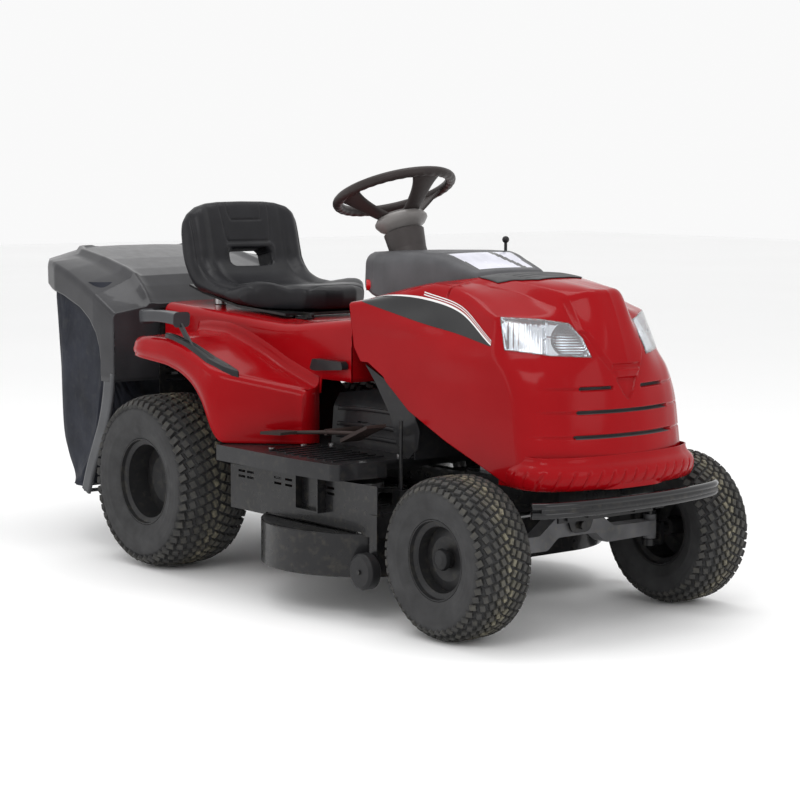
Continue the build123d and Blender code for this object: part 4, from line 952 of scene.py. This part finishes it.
def build_pedestal():
    """The raised middle under the seat, open where the chute and the battery go through."""
    stations = np.linspace(PEDESTAL_REAR, PEDESTAL_FRONT, 150)
    rows = []

    def section(x, draw):
        top = float(lookup(PEDESTAL_TOP, x)) - draw
        wide = PEDESTAL_HALF - draw
        beside = float(lookup(FENDER_TOP, x)) - 0.012 if -0.39 < x < 0.17 else PEDESTAL_LOW
        low = min(PEDESTAL_LOW, beside)
        line = [(0, top), (0.04, top), (0.08, top), (0.12, top), (0.15, top), (0.18, top - 0.0006),
                (wide - 0.026, top - 0.002)]
        line += [(wide - 0.024 + 0.024 * out, top - 0.002 - 0.024 * down) for out, down in rounding()]
        line += [(wide, top - 0.026 + (low - top + 0.026) * t) for t in np.linspace(0, 1, 9)]
        return at_station(x, both_sides(line))

    def risen(row, share):
        """The row cut off at a share of the way up from the pedestal's lower edge."""
        row = row.copy()
        row[:, 2] = np.minimum(row[:, 2], PEDESTAL_LOW + (row[:, 2].max() - PEDESTAL_LOW) * share)
        return row

    for turn in np.linspace(math.pi / 2, 0, 7)[:-1]:
        row = section(PEDESTAL_REAR, 0.016 * (1 - math.cos(turn)))
        row[:, 0] -= 0.016 * math.sin(turn)
        rows.append(row)
    wall = [risen(rows[0], 1 - share) for share in np.linspace(1, 0, 14)[:-1]]
    rows = wall + rows + [section(x, 0.0) for x in stations]
    rows += [risen(section(PEDESTAL_FRONT, 0.0), 1 - share) for share in np.linspace(0.1, 1, 12)]
    points = np.array(rows).reshape(-1, 3)
    faces = []
    for face in lattice(len(rows), len(rows[0])):
        x, y, z = points[list(face)].mean(0)
        hatch = -0.33 < x < -0.13 and abs(y) < 0.10 and z > 0.6
        chute = x < -0.563 and abs(y) < 0.118 and z < 0.626
        shaft = x > 0.255 and abs(y) < 0.05 and z > 0.64
        if not (hatch or chute or shaft):
            faces.append(face)
    piece = mesh_piece("pedestal_skin", points, faces, "chassis", ["red_body"])
    add_modifier(piece, "SOLIDIFY", thickness=SKIN, offset=-1)


def build_rear_body():
    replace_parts(build_fenders(), "rear_body")
    build_pedestal()


# ---- grass collector ---------------------------------------------------------------------

COVER_TOP = ((-1.0895, 0.812), (-1.082, 0.828), (-1.068, 0.836), (-1.03, 0.832), (-0.97, 0.824),
             (-0.86, 0.807), (-0.75, 0.783), (-0.695, 0.766), (-0.66, 0.738), (-0.625, 0.703),
             (-0.610, 0.690))
COVER_HALF = ((-1.0895, 0.150), (-1.080, 0.210), (-1.050, 0.312), (-1.02, 0.342), (-0.97, 0.372),
              (-0.91, 0.386), (-0.70, 0.385), (-0.610, 0.376))
COVER_CREASE = ((-1.0895, 0.775), (-1.05, 0.800), (-0.93, 0.792), (-0.85, 0.770), (-0.758, 0.736),
                (-0.70, 0.710), (-0.650, 0.682), (-0.610, 0.660))
COVER_ARCH = ((-1.0895, 0.772), (-1.0, 0.747), (-0.935, 0.722), (-0.860, 0.706), (-0.77, 0.676),
              (-0.72, 0.645), (-0.69, 0.610), (-0.674, 0.570), (-0.668, 0.530), (-0.6665, 0.4745),
              (-0.610, 0.4745))


COVER_REAR, COVER_FRONT = -1.0895, -0.61
TUNNEL_HALF, PANEL_LOW = 0.128, 0.4745


def cover_section(x):
    """(y, z) across the cover from the middle to its lower edge, with the raised rib and the side crease."""
    top, half = at_line(COVER_TOP, x), at_line(COVER_HALF, x)
    crease = min(at_line(COVER_CREASE, x), top - 0.012)
    low = min(at_line(COVER_ARCH, x), crease - 0.012)
    rib = min(0.250, half * 0.68)
    rise = 0.007 * min(1, (x - COVER_REAR) / 0.06) * min(1, (COVER_FRONT - x) / 0.03)
    line = [(0, top), (rib * 0.35, top), (rib * 0.65, top - 0.001), (rib - 0.034, top - 0.002),
            (rib - 0.018, top - 0.001), (rib - 0.009, top + rise * 0.75), (rib - 0.002, top + rise),
            (rib + 0.006, top + rise * 0.7), (rib + 0.016, top - 0.008)]
    rest = half - 0.012 - (rib + 0.016)
    slope = crease + 0.008 - top + 0.008
    line += [(rib + 0.016 + rest * t, top - 0.008 + slope * t) for t in (0.25, 0.5, 0.75, 1.0)]
    line += [(half - 0.004, crease + 0.006), (half, crease - 0.004), (half + 0.001, crease - 0.012)]
    line += [(half + 0.001 * (1 - t), crease - 0.012 + (low - crease + 0.012) * t)
             for t in np.linspace(0.1, 1, 12)]
    return np.array(line)


def build_cover():
    """The cover's skin from its tail forwards, then its front panel with the hole for the chute."""
    runs = ((COVER_REAR, -1.05, 14), (-1.05, -0.70, 60), (-0.70, -0.612, 40))
    stations = np.unique(np.concatenate([np.linspace(*run) for run in runs]))
    rows = [at_station(x, cover_section(x)) for x in stations]
    width = len(rows[0])
    edge = rows[-1]
    for turn in np.linspace(0.25, 1, 4) * math.pi / 2:
        row = edge.copy()
        row[:, 0] += 0.003 * math.sin(turn)
        row[:, 1] -= 0.003 * (1 - math.cos(turn)) * (row[:, 1] > 0.3)
        row[:, 2] -= 0.003 * (1 - math.cos(turn)) * (row[:, 2] > 0.66)
        rows.append(row)
    edge = rows[-1]
    for share in np.linspace(0, 1, 23)[1:]:
        row = edge.copy()
        row[:, 2] = np.minimum(row[:, 2], row[:, 2].max() + (PANEL_LOW - row[:, 2].max()) * share)
        rows.append(row)
    points = np.array(rows).reshape(-1, 3)
    faces = []
    for face in lattice(len(rows), width):
        x, y, z = points[list(face)].mean(0)
        if not (x > -0.615 and y < TUNNEL_HALF and z < 0.634):
            faces.append(face)
    tail = len(points)
    end = rows[0].copy()
    end[:, 1] = np.minimum(end[:, 1], 0.150)
    end[:, 2] = np.minimum(end[:, 2], 0.772)
    points = np.vstack((points, end))
    faces += [(tail + k, k, k + 1, tail + k + 1) for k in range(width - 1)]
    points, faces = mirror_faces(points, faces)
    piece = mesh_piece("collector_top", points, faces, "collector", ["collector_plastic"])
    add_modifier(piece, "WELD", merge_threshold=0.0005)
    add_modifier(piece, "SOLIDIFY", thickness=SKIN, offset=-1)
    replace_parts(piece, "collector_cover")


STRIP_PATH = ((-0.634, 0.500), (-0.640, 0.455), (-0.652, 0.405), (-0.672, 0.350), (-0.706, 0.285),
              (-0.742, 0.215), (-0.769, 0.150))
STRIP_WIDTH = (0.052, 0.052, 0.050, 0.046, 0.043, 0.041, 0.040)
STRIP_SHAPE = ((-1, 0), (-0.96, 0.6), (-0.86, 0.95), (-0.6, 1), (0, 0.92), (0.6, 1), (0.86, 0.95),
               (0.96, 0.6), (1, 0), (0.9, -0.5), (-0.9, -0.5))
BAR_CORNERS = ((-0.786, 0.1465), (-0.786, 0.1525), (-0.756, 0.1525), (-0.756, 0.1465))
LUG_CORNERS = ((-0.611, 0.664), (-0.603, 0.667), (-0.599, 0.672), (-0.599, 0.681), (-0.611, 0.685))


def prism(corners, first_y, last_y, start):
    """A bar with the (x, z) corners between two values of y, its points counted from start."""
    count = len(corners)
    points = [(x, y, z) for y in (first_y, last_y) for x, z in corners]
    faces = [(start + k, start + (k + 1) % count, start + count + (k + 1) % count, start + count + k)
             for k in range(count)]
    return points, faces, [tuple(start + end + k for k in range(count)) for end in (0, count)]


def build_strips():
    """Curved moulded strips down the front edges of the bag."""
    path = np.array(STRIP_PATH)
    keys = run_length(path)
    at = np.linspace(0, keys[-1], 60)
    x, z = smooth_line(keys, path[:, 0], at), smooth_line(keys, path[:, 1], at)
    width = smooth_line(keys, STRIP_WIDTH, at) / 2
    dx, dz = np.gradient(x), np.gradient(z)
    size = np.hypot(dx, dz)
    nx, nz = -dz / size, dx / size
    points = []
    for i in range(len(at)):
        for across, out in STRIP_SHAPE:
            points.append((x[i] + nx[i] * across * width[i], 0.3715 + out * 0.0065,
                           z[i] + nz[i] * across * width[i]))
    count = len(STRIP_SHAPE)
    faces = lattice(len(at), count, wrap_columns=True) + end_caps(len(at), count)
    points, faces = mirror_faces(points, faces)
    strip = mesh_piece("bag_strips", points, faces, "collector", ["strip_grey"])


def build_bar():
    """The bar between the feet of the strips, and the cover's hinge lugs."""
    points, faces, ends = prism(BAR_CORNERS, -0.372, 0.372, 0)
    faces += [ends[0][::-1], ends[1]]
    for side in (-1, 1):
        lug, walls, ends = prism(LUG_CORNERS, side * 0.166, side * 0.176, len(points))
        points += lug
        faces += walls + ends
    bar = mesh_piece("bag_bar", points, faces, "collector", ["strip_grey"], smooth=False)
    add_modifier(bar, "BEVEL", width=0.0015, segments=2)


BAG_SIDE = ((0.158, -0.795, -0.860), (0.20, -0.773, -0.900), (0.26, -0.745, -0.955),
            (0.32, -0.716, -1.000), (0.38, -0.690, -1.035), (0.44, -0.665, -1.060),
            (0.50, -0.645, -1.074), (0.60, -0.640, -1.080), (0.70, -0.662, -1.081),
            (0.756, -0.720, -1.079))
BAG_ROWS, BAG_TURNS = 90, 260
BAG_LOW, BAG_HIGH, BAG_HALF = 0.158, 0.748, 0.3655
FLOOR_RINGS = (0.8, 0.55, 0.3, 0.1)  # the bag's floor, as shares of its bottom ring
CLOTH_FRAMES = 22
MOST_MOVED = 0.014  # metres, how far the cloth run may take a point


def bag_points():
    """The bag hung slack: rings from the bottom seam to the rim inside the cover."""
    table_z, table_f, table_r = (np.array(c) for c in zip(*BAG_SIDE))
    points = []
    levels = np.linspace(BAG_LOW, BAG_HIGH, BAG_ROWS)
    fronts, rears = (smooth_line(table_z, values, levels) for values in (table_f, table_r))
    for z, front, rear in zip(levels, fronts, rears):
        for k in range(BAG_TURNS):
            turn = 2 * math.pi * k / BAG_TURNS
            c, s = math.cos(turn), math.sin(turn)
            power = 0.20 if c > 0 else 0.5
            x = (front + rear) / 2 + (front - rear) / 2 * math.copysign(abs(c) ** power, c)
            y = BAG_HALF * math.copysign(abs(s) ** 0.22, s)
            if c < 0:
                y *= 1 - 0.50 * max(0, (-x - 0.93) / 0.15) ** 1.6
            points.append((x, y, z))
    return np.array(points)


def build_bag():
    """Woven bag, creased by a short cloth run while its rim, front edges and bottom seam are held."""
    points = bag_points()
    count = len(points)
    faces = lattice(BAG_ROWS, BAG_TURNS, wrap_columns=True)
    kept = []
    for face in faces:
        x, y, z = points[list(face)].mean(0)
        if not (x > -0.72 and abs(y) < TUNNEL_HALF and 0.478 < z < 0.636):
            kept.append(face)
    middle = points[:BAG_TURNS].mean(0)
    inner = [middle + (points[:BAG_TURNS] - middle) * s for s in FLOOR_RINGS]
    points = np.vstack([points] + inner)
    for layer in range(len(FLOOR_RINGS)):
        outer = 0 if layer == 0 else count + (layer - 1) * BAG_TURNS
        below = count + layer * BAG_TURNS
        for k in range(BAG_TURNS):
            after = (k + 1) % BAG_TURNS
            kept.append((below + k, below + after, outer + after, outer + k))
    piece = mesh_piece("bag_cloth", points, [f[::-1] for f in kept], "collector", ["bag_weave"])
    rim = points[:, 2] > BAG_LOW + 0.955 * (BAG_HIGH - BAG_LOW)
    held = rim | (points[:, 0] > -0.70) & (np.abs(points[:, 1]) > 0.33) | (points[:, 2] < 0.165)
    group = piece.vertex_groups.new(name="held")
    group.add([int(i) for i in np.nonzero(held)[0]], 1.0, "REPLACE")
    crease_bag(piece)
    add_modifier(piece, "SUBSURF", levels=1, render_levels=1)
    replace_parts(piece, "collector_bag")


def crease_bag(piece):
    """Lets the cloth shrink and sag for a few frames, then keeps the shape it settled in."""
    cloth = piece.modifiers.new("cloth", "CLOTH")
    settings = cloth.settings
    settings.quality = 5
    settings.mass = 0.25
    settings.tension_stiffness = 22
    settings.compression_stiffness = 12
    settings.bending_stiffness = 0.08
    settings.vertex_group_mass = "held"
    settings.shrink_min = -0.045
    settings.use_pressure = True
    settings.uniform_pressure_force = -0.8
    settings.effector_weights.gravity = 0.4
    cloth.point_cache.frame_start = 1
    cloth.point_cache.frame_end = CLOTH_FRAMES
    scene = bpy.context.scene
    for frame_number in range(1, CLOTH_FRAMES + 1):
        scene.frame_set(frame_number)
    graph = bpy.context.evaluated_depsgraph_get()
    settled = piece.evaluated_get(graph).data
    moved = np.empty(len(settled.vertices) * 3)
    settled.vertices.foreach_get("co", moved)
    start = np.empty(len(piece.data.vertices) * 3)
    piece.data.vertices.foreach_get("co", start)
    shift = (moved - start).reshape(-1, 3)
    length = np.linalg.norm(shift, axis=1)[:, None]
    shift *= np.minimum(1, MOST_MOVED / np.maximum(length, 1e-9))
    piece.modifiers.remove(cloth)
    piece.data.vertices.foreach_set("co", (start.reshape(-1, 3) + shift).ravel())
    piece.data.update()
    scene.frame_set(1)


def weave_finish():
    """Coated dark navy weave with fine crossed threads and dust in the folds."""
    material = finish("bag_weave", (0.012, 0.014, 0.022), 0.6, vary=0.35, patch=9,
                      grain=(900, 0.2, 0.0003), dust=(TAN, 0.05))
    tree = material.node_tree
    shader = tree.nodes["Principled BSDF"]
    coords = tree.nodes.new("ShaderNodeTexCoord")
    for direction in ("Z", "Y"):
        wave = tree.nodes.new("ShaderNodeTexWave")
        wave.bands_direction = direction
        wave.inputs["Scale"].default_value = 130
        wave.inputs["Distortion"].default_value = 0.6
        wire(tree, coords.outputs["Object"], wave.inputs["Vector"])
        bump(tree, shader, wave.outputs["Fac"], 0.5, 0.0005)
    bump(tree, shader, noise_node(tree, 14, 3, (1, 1, 0.35)), 0.5, 0.006)
    return material


def build_collector():
    finishes["bag_weave"] = weave_finish()
    finishes["strip_grey"] = finish("strip_grey", (0.055, 0.057, 0.062), 0.36, coat=0.2,
                                    grain=(900, 0.2, 0.0003))
    build_cover()
    build_strips()
    build_bar()
    build_bag()


# ---- dash, steering wheel and small parts ------------------------------------------------

DASH_HALF = ((0.152, 0.050), (0.156, 0.072), (0.170, 0.096), (0.20, 0.118), (0.25, 0.136), (0.30, 0.142),
             (0.50, 0.142), (0.56, 0.133), (0.61, 0.120), (0.634, 0.106))
DASH_TOP = ((0.152, 0.838), (0.158, 0.852), (0.172, 0.860), (0.21, 0.863), (0.30, 0.867), (0.42, 0.871),
            (0.490, 0.871), (0.52, 0.864), (0.60, 0.836), (0.620, 0.829), (0.634, 0.812))
DASH_LOW = ((0.152, 0.793), (0.18, 0.776), (0.21, 0.766), (0.297, 0.743), (0.32, 0.748), (0.45, 0.775),
            (0.634, 0.795))


DASH_REAR, DASH_FRONT = 0.152, 0.634


def build_dash():
    """Rounded binnacle with two pale panels on its front slope, split by a slanted bar."""
    runs = ((DASH_REAR, 0.20, 16), (0.205, 0.60, 100), (0.603, DASH_FRONT, 16))
    rows = []
    for x in np.concatenate([np.linspace(*run) for run in runs]):
        half, top, low = (at_line(line, x) for line in (DASH_HALF, DASH_TOP, DASH_LOW))
        crown = 0.004 * min(1, (x - DASH_REAR) / 0.05)
        radius = min(0.030, half * 0.5, (top - low) * 0.45)
        line = [(y, top + crown * (1 - (y / half) ** 2) - crown) for y in np.linspace(0, half - radius, 22)]
        line += [(half - radius + radius * out, top - radius * down - 0.003) for out, down in rounding(8)]
        shoulder = top - radius - 0.003
        line += [(half + 0.002 * t, shoulder + (low - shoulder) * t) for t in np.linspace(0.1, 1, 10)]
        rows.append([(x, y, z) for y, z in both_sides(line)])
    back, front = ([(x, y, DASH_LOW[k][1]) for x, y, _ in rows[k]] for k in (0, -1))
    points = np.array([back] + rows + [front]).reshape(-1, 3)
    width = len(rows[0])
    faces, marks = [], []
    column = RIM - 0.160 * COLUMN
    for face in lattice(len(rows) + 2, width):
        x, y, z = points[list(face)].mean(0)
        off = (x, y, z) - column
        if z > 0.83 and x < 0.27 and np.linalg.norm(off - COLUMN * off.dot(COLUMN)) < 0.050:
            continue
        taper = (x - 0.506) * 0.12
        pane = 0.506 < x < 0.606 and abs(y) < 0.098 - taper
        bar = abs(y - 0.045 - (x - 0.55) * 0.25) < 0.010
        edge = 0.500 < x < 0.612 and abs(y) < 0.106 - taper
        faces.append(face)
        marks.append(1 if pane and not bar else 2 if edge else 0)
    piece = mesh_piece("dash_skin", points, faces, "chassis", ("dash_plastic", "dash_window", "decal_black"),
                       marks)
    add_modifier(piece, "WELD", merge_threshold=0.0002)
    add_modifier(piece, "SOLIDIFY", thickness=SKIN, offset=-1)
    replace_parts(piece, "dash_cowl", "dash_window")


RIM = np.array((0.167, 0.0, 1.013))
TILT = math.radians(21.3)
COLUMN = np.array((-math.sin(TILT), 0.0, math.cos(TILT)))
ACROSS = np.array((math.cos(TILT), 0.0, math.sin(TILT)))
SIDEWAYS = np.array((0.0, 1.0, 0.0))
SPOKES = (-8, 90, 188)
HUB_LINE = ((0.0, -0.059), (0.03, -0.0595), (0.052, -0.063), (0.062, -0.069), (0.069, -0.078),
            (0.069, -0.084), (0.060, -0.096), (0.046, -0.106), (0.040, -0.110), (0.0092, -0.110))


def build_steering():
    """Grip with finger bumps, three flared dished spokes and a shallow hub pad over a skirt."""
    points = []

    def place(radius, turn, lift):
        points.append(RIM + radius * (SIDEWAYS * math.cos(turn) + ACROSS * math.sin(turn)) + COLUMN * lift)

    turns, ring = 180, 18
    for i in range(turns):
        turn = 2 * math.pi * i / turns
        for k in range(ring):
            phase = 2 * math.pi * k / ring
            thick = 0.0138 + 0.0006 * math.cos(turn * 36) * max(0, -math.sin(phase))
            place(0.150 + thick * math.cos(phase), turn, 0.92 * thick * math.sin(phase))
    faces = lattice(turns, ring, wrap_rows=True, wrap_columns=True)
    for centre in (math.radians(spoke) for spoke in SPOKES):
        start = len(points)
        for t in np.linspace(0, 1, 26):
            radius = 0.036 + t * 0.108
            lift = -0.072 + 0.072 * t ** 1.25
            half = (0.0225 + 0.004 * t + 0.022 * t ** 5) / radius
            for face, dish in ((1, 0.003), (-1, 0.002)):
                for s in np.linspace(-face, face, 13):
                    place(radius, centre + s * half, lift + face * 0.0045 - dish * (1 - s * s))
        faces += [tuple(start + i for i in f) for f in lattice(26, 26, wrap_columns=True)]
    start = len(points)
    for radius, lift in HUB_LINE:
        for i in range(72):
            place(max(radius, 0.0005), 2 * math.pi * i / 72, lift)
    faces += [tuple(start + i for i in f) for f in lattice(len(HUB_LINE), 72, wrap_columns=True)]
    marks = [1 if f[0] >= start + 72 * 3 else 0 for f in faces]
    piece = mesh_piece("steering_skin", points, faces, "steering", ("wheel_grip", "hub_grey"), marks)
    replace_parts(piece, "steering_wheel")


def build_vent():
    """Grille panel lying on the bonnet ahead of the dash, with cross slots whose floors are painted black as
    shade.
    """
    x = np.linspace(0.643, 0.796, 80)
    half = np.interp(x, (0.643, 0.66, 0.718, 0.77, 0.796), (0.124, 0.130, 0.130, 0.098, 0.070))
    share = np.linspace(-1, 1, 61)
    start = np.array([(a, b * s, 0.60) for a, b in zip(x, half) for s in share])
    points = cast(start, UP, 0.3) + (0, 0, 0.0022)
    first_slot, last_slot, pitch = 0.664, 0.772, 0.024
    along, wide = points[:, 0], np.abs(points[:, 1])
    slot = np.abs((along - first_slot) % pitch - pitch / 2) < 0.0045
    slot &= (wide < 0.088) & (along > first_slot) & (along < last_slot)
    points[:, 2] -= 0.0016 * slot
    faces = [f[::-1] for f in lattice(80, 61)]
    # Slot floors take the black decal finish: painted shade standing in for the dark seen through the open
    # slots.
    marks = [1 if slot[list(f)].sum() > 2 else 0 for f in faces]
    piece = mesh_piece("vent_skin", points, faces, "bonnet", ("vent_plastic", "decal_black"), marks)
    add_modifier(piece, "SOLIDIFY", thickness=0.002, offset=0)
    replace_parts(piece, "hood_vent")


def sweep_section(name, path, section, body, look):
    """Carries a closed (sideways, up) section along a path of points."""
    heading = np.gradient(path, axis=0)
    heading /= np.linalg.norm(heading, axis=1)[:, None]
    side = np.cross(heading, UP)
    side /= np.linalg.norm(side, axis=1)[:, None]
    above = np.cross(side, heading)
    points = [p + s * a + u * b for p, s, u in zip(path, side, above) for a, b in section]
    count = len(section)
    faces = lattice(len(path), count, wrap_columns=True) + end_caps(len(path), count)
    return mesh_piece(name, points, faces, body, [look])


def oval(width, height, count=20, power=0.7):
    """A closed section between an ellipse and a box: the lower the power, the squarer."""
    turns = [2 * math.pi * k / count for k in range(count)]
    return [(math.copysign(abs(math.cos(t)) ** power, math.cos(t)) * width / 2,
             math.copysign(abs(math.sin(t)) ** power, math.sin(t)) * height / 2) for t in turns]


BUMPER_PATH = ((1.028, -0.300), (1.046, -0.268), (1.064, -0.190), (1.0755, -0.095), (1.0785, 0.0))
BUMPER_HEIGHT = 0.314


def build_bumper():
    """Deep glossy bar bowed round the nose, turned back at both ends."""
    keys = np.linspace(0, 1, 9)
    at = np.linspace(0, 1, 120)
    x, y = (smooth_line(keys, values, at) for values in round_the_nose(BUMPER_PATH).T)
    turns = np.linspace(-math.pi / 2, math.pi / 2, 11)
    beads = [(0.002 + 0.0085 * math.cos(t), height + 0.0088 * math.sin(t)) for height in (-0.0095, 0.0095)
             for t in turns]
    section = beads + [(-0.009, 0.0183), (-0.009, -0.0183)]
    path = np.column_stack((x, y, np.full(len(at), BUMPER_HEIGHT)))
    bar = sweep_section("bumper_bar", path, section, "chassis", "bar_gloss")


def build_tunnel_ribs():
    """Moulded ribs along both sides of the cover between the feet."""
    for side in (-1, 1):
        for k, (z, y) in enumerate(((0.395, 0.2045), (0.425, 0.2020), (0.465, 0.1985))):
            at = np.linspace(0.19, 0.50 - 0.03 * k, 40)
            drop = 0.006 * np.sin((at - 0.19) * 9)
            path = np.column_stack((at, np.full(40, side * y), z + drop))
            rib = sweep_section(f"tunnel_rib_{k}_{side + 1}", path, oval(0.008, 0.011), "chassis",
                                "black_plastic")


SKIRT_X, SKIRT_Y, SKIRT_RADIUS = 0.345, 0.245, 0.2505
DECK_HALF, LEDGE_HEIGHT = 0.3965, 0.2048


def build_ledges():
    """Flat crescent ledges that close the round skirts outside the deck's upper box."""
    for side in (-1, 1):
        points = []
        for turn in np.linspace(-0.915, 0.915, 49):
            x = SKIRT_X + SKIRT_RADIUS * math.sin(turn)
            outer = SKIRT_Y + SKIRT_RADIUS * math.cos(turn)
            ys = DECK_HALF + (outer - DECK_HALF) * np.linspace(0, 1, 5)
            points += [(x, side * y, LEDGE_HEIGHT) for y in ys]
        ledge = mesh_piece(f"deck_ledge_{side + 1}", points, lattice(49, 5), "deck", ["black_paint"])
        add_modifier(ledge, "SOLIDIFY", thickness=0.0024, offset=0)


GUIDE_HALF = ((-0.262, 0.007), (-0.240, 0.011), (-0.12, 0.017), (-0.04, 0.0205), (0.0, 0.0185),
              (0.025, 0.011), (0.038, 0.001))


def build_lever():
    """Tapered guide strip with a slot, lying on the right fender, and the lever's padded grip."""
    rows = []
    for x in np.linspace(GUIDE_HALF[0][0], GUIDE_HALF[-1][0], 90):
        half = at_line(GUIDE_HALF, x)
        middle = -0.424 + 0.020 * unit((x + 0.05) / 0.08)
        ground = float(lookup(FENDER_TOP, x)) - 0.005
        for u in np.linspace(-1, 1, 17):
            rise = 0.013 * (1 - abs(u) ** 5) - 0.004 * (abs(u) > 0.99)
            groove = 0.007 * (abs(u) < 0.3) * (-0.240 < x < 0.0)
            rows.append((x, middle + half * u, ground + rise - groove))
    guide = mesh_piece("lever_guide", rows, lattice(90, 17), "chassis", ["black_plastic"])
    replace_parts(guide, "lift_quadrant")
    along = np.linspace(0, 1, 24)
    path = np.column_stack((-0.358 + 0.166 * along, np.full(24, -0.424),
                            0.677 + 0.004 * np.sin(math.pi * along)))
    grip = sweep_section("lever_grip", path, oval(0.042, 0.031, 28, 0.35), "lever", "grip_grey")
    add_modifier(grip, "BEVEL", width=0.005, segments=4, limit_method="ANGLE", angle_limit=math.radians(50))


def soften(node, width):
    """Rounds the sharp edges of a node that came from the CAD."""
    for piece in [o for o in bpy.data.objects if o.type == "MESH" and o.name.split(".")[0] == node]:
        add_modifier(piece, "BEVEL", width=width, segments=3, limit_method="ANGLE",
                     angle_limit=math.radians(35))
        piece.data.polygons.foreach_set("use_smooth", [True] * len(piece.data.polygons))
        add_modifier(piece, "WEIGHTED_NORMAL", keep_sharp=False)


SOFTENED = (("lift_lever", 0.0045), ("brake_lock", 0.003), ("drive_pedal", 0.0015), ("brake_pedal", 0.0015),
            ("footboard", 0.0014), ("deck_shell", 0.0012), ("deck_brackets", 0.0012), ("frame", 0.0012),
            ("tunnel_cover", 0.0012), ("leg_shield", 0.0012))


def build_details():
    finishes["wheel_grip"] = finish("wheel_grip", (0.028, 0.022, 0.021), 0.42, grain=(900, 0.35, 0.0004))
    finishes["hub_grey"] = finish("hub_grey", (0.17, 0.16, 0.155), 0.34, coat=0.2, grain=(1100, 0.2, 0.0002))
    finishes["bar_gloss"] = finish("bar_gloss", (0.006, 0.006, 0.007), 0.12, coat=0.4, vary=0.1,
                                   grain=(700, 0.05, 0.0002))
    finishes["grip_grey"] = finish("grip_grey", (0.035, 0.036, 0.040), 0.4, coat=0.2,
                                   grain=(1000, 0.3, 0.0003))
    build_dash()
    build_steering()
    build_vent()
    build_bumper()
    build_tunnel_ribs()
    build_lever()
    build_ledges()
    for node, width in SOFTENED:
        soften(node, width)



make_camera()
make_studio()
make_floor()
build_hood()
build_decal()
build_lip()
build_lamps()
build_wheels()
build_seat()
build_rear_body()
build_collector()
build_details()
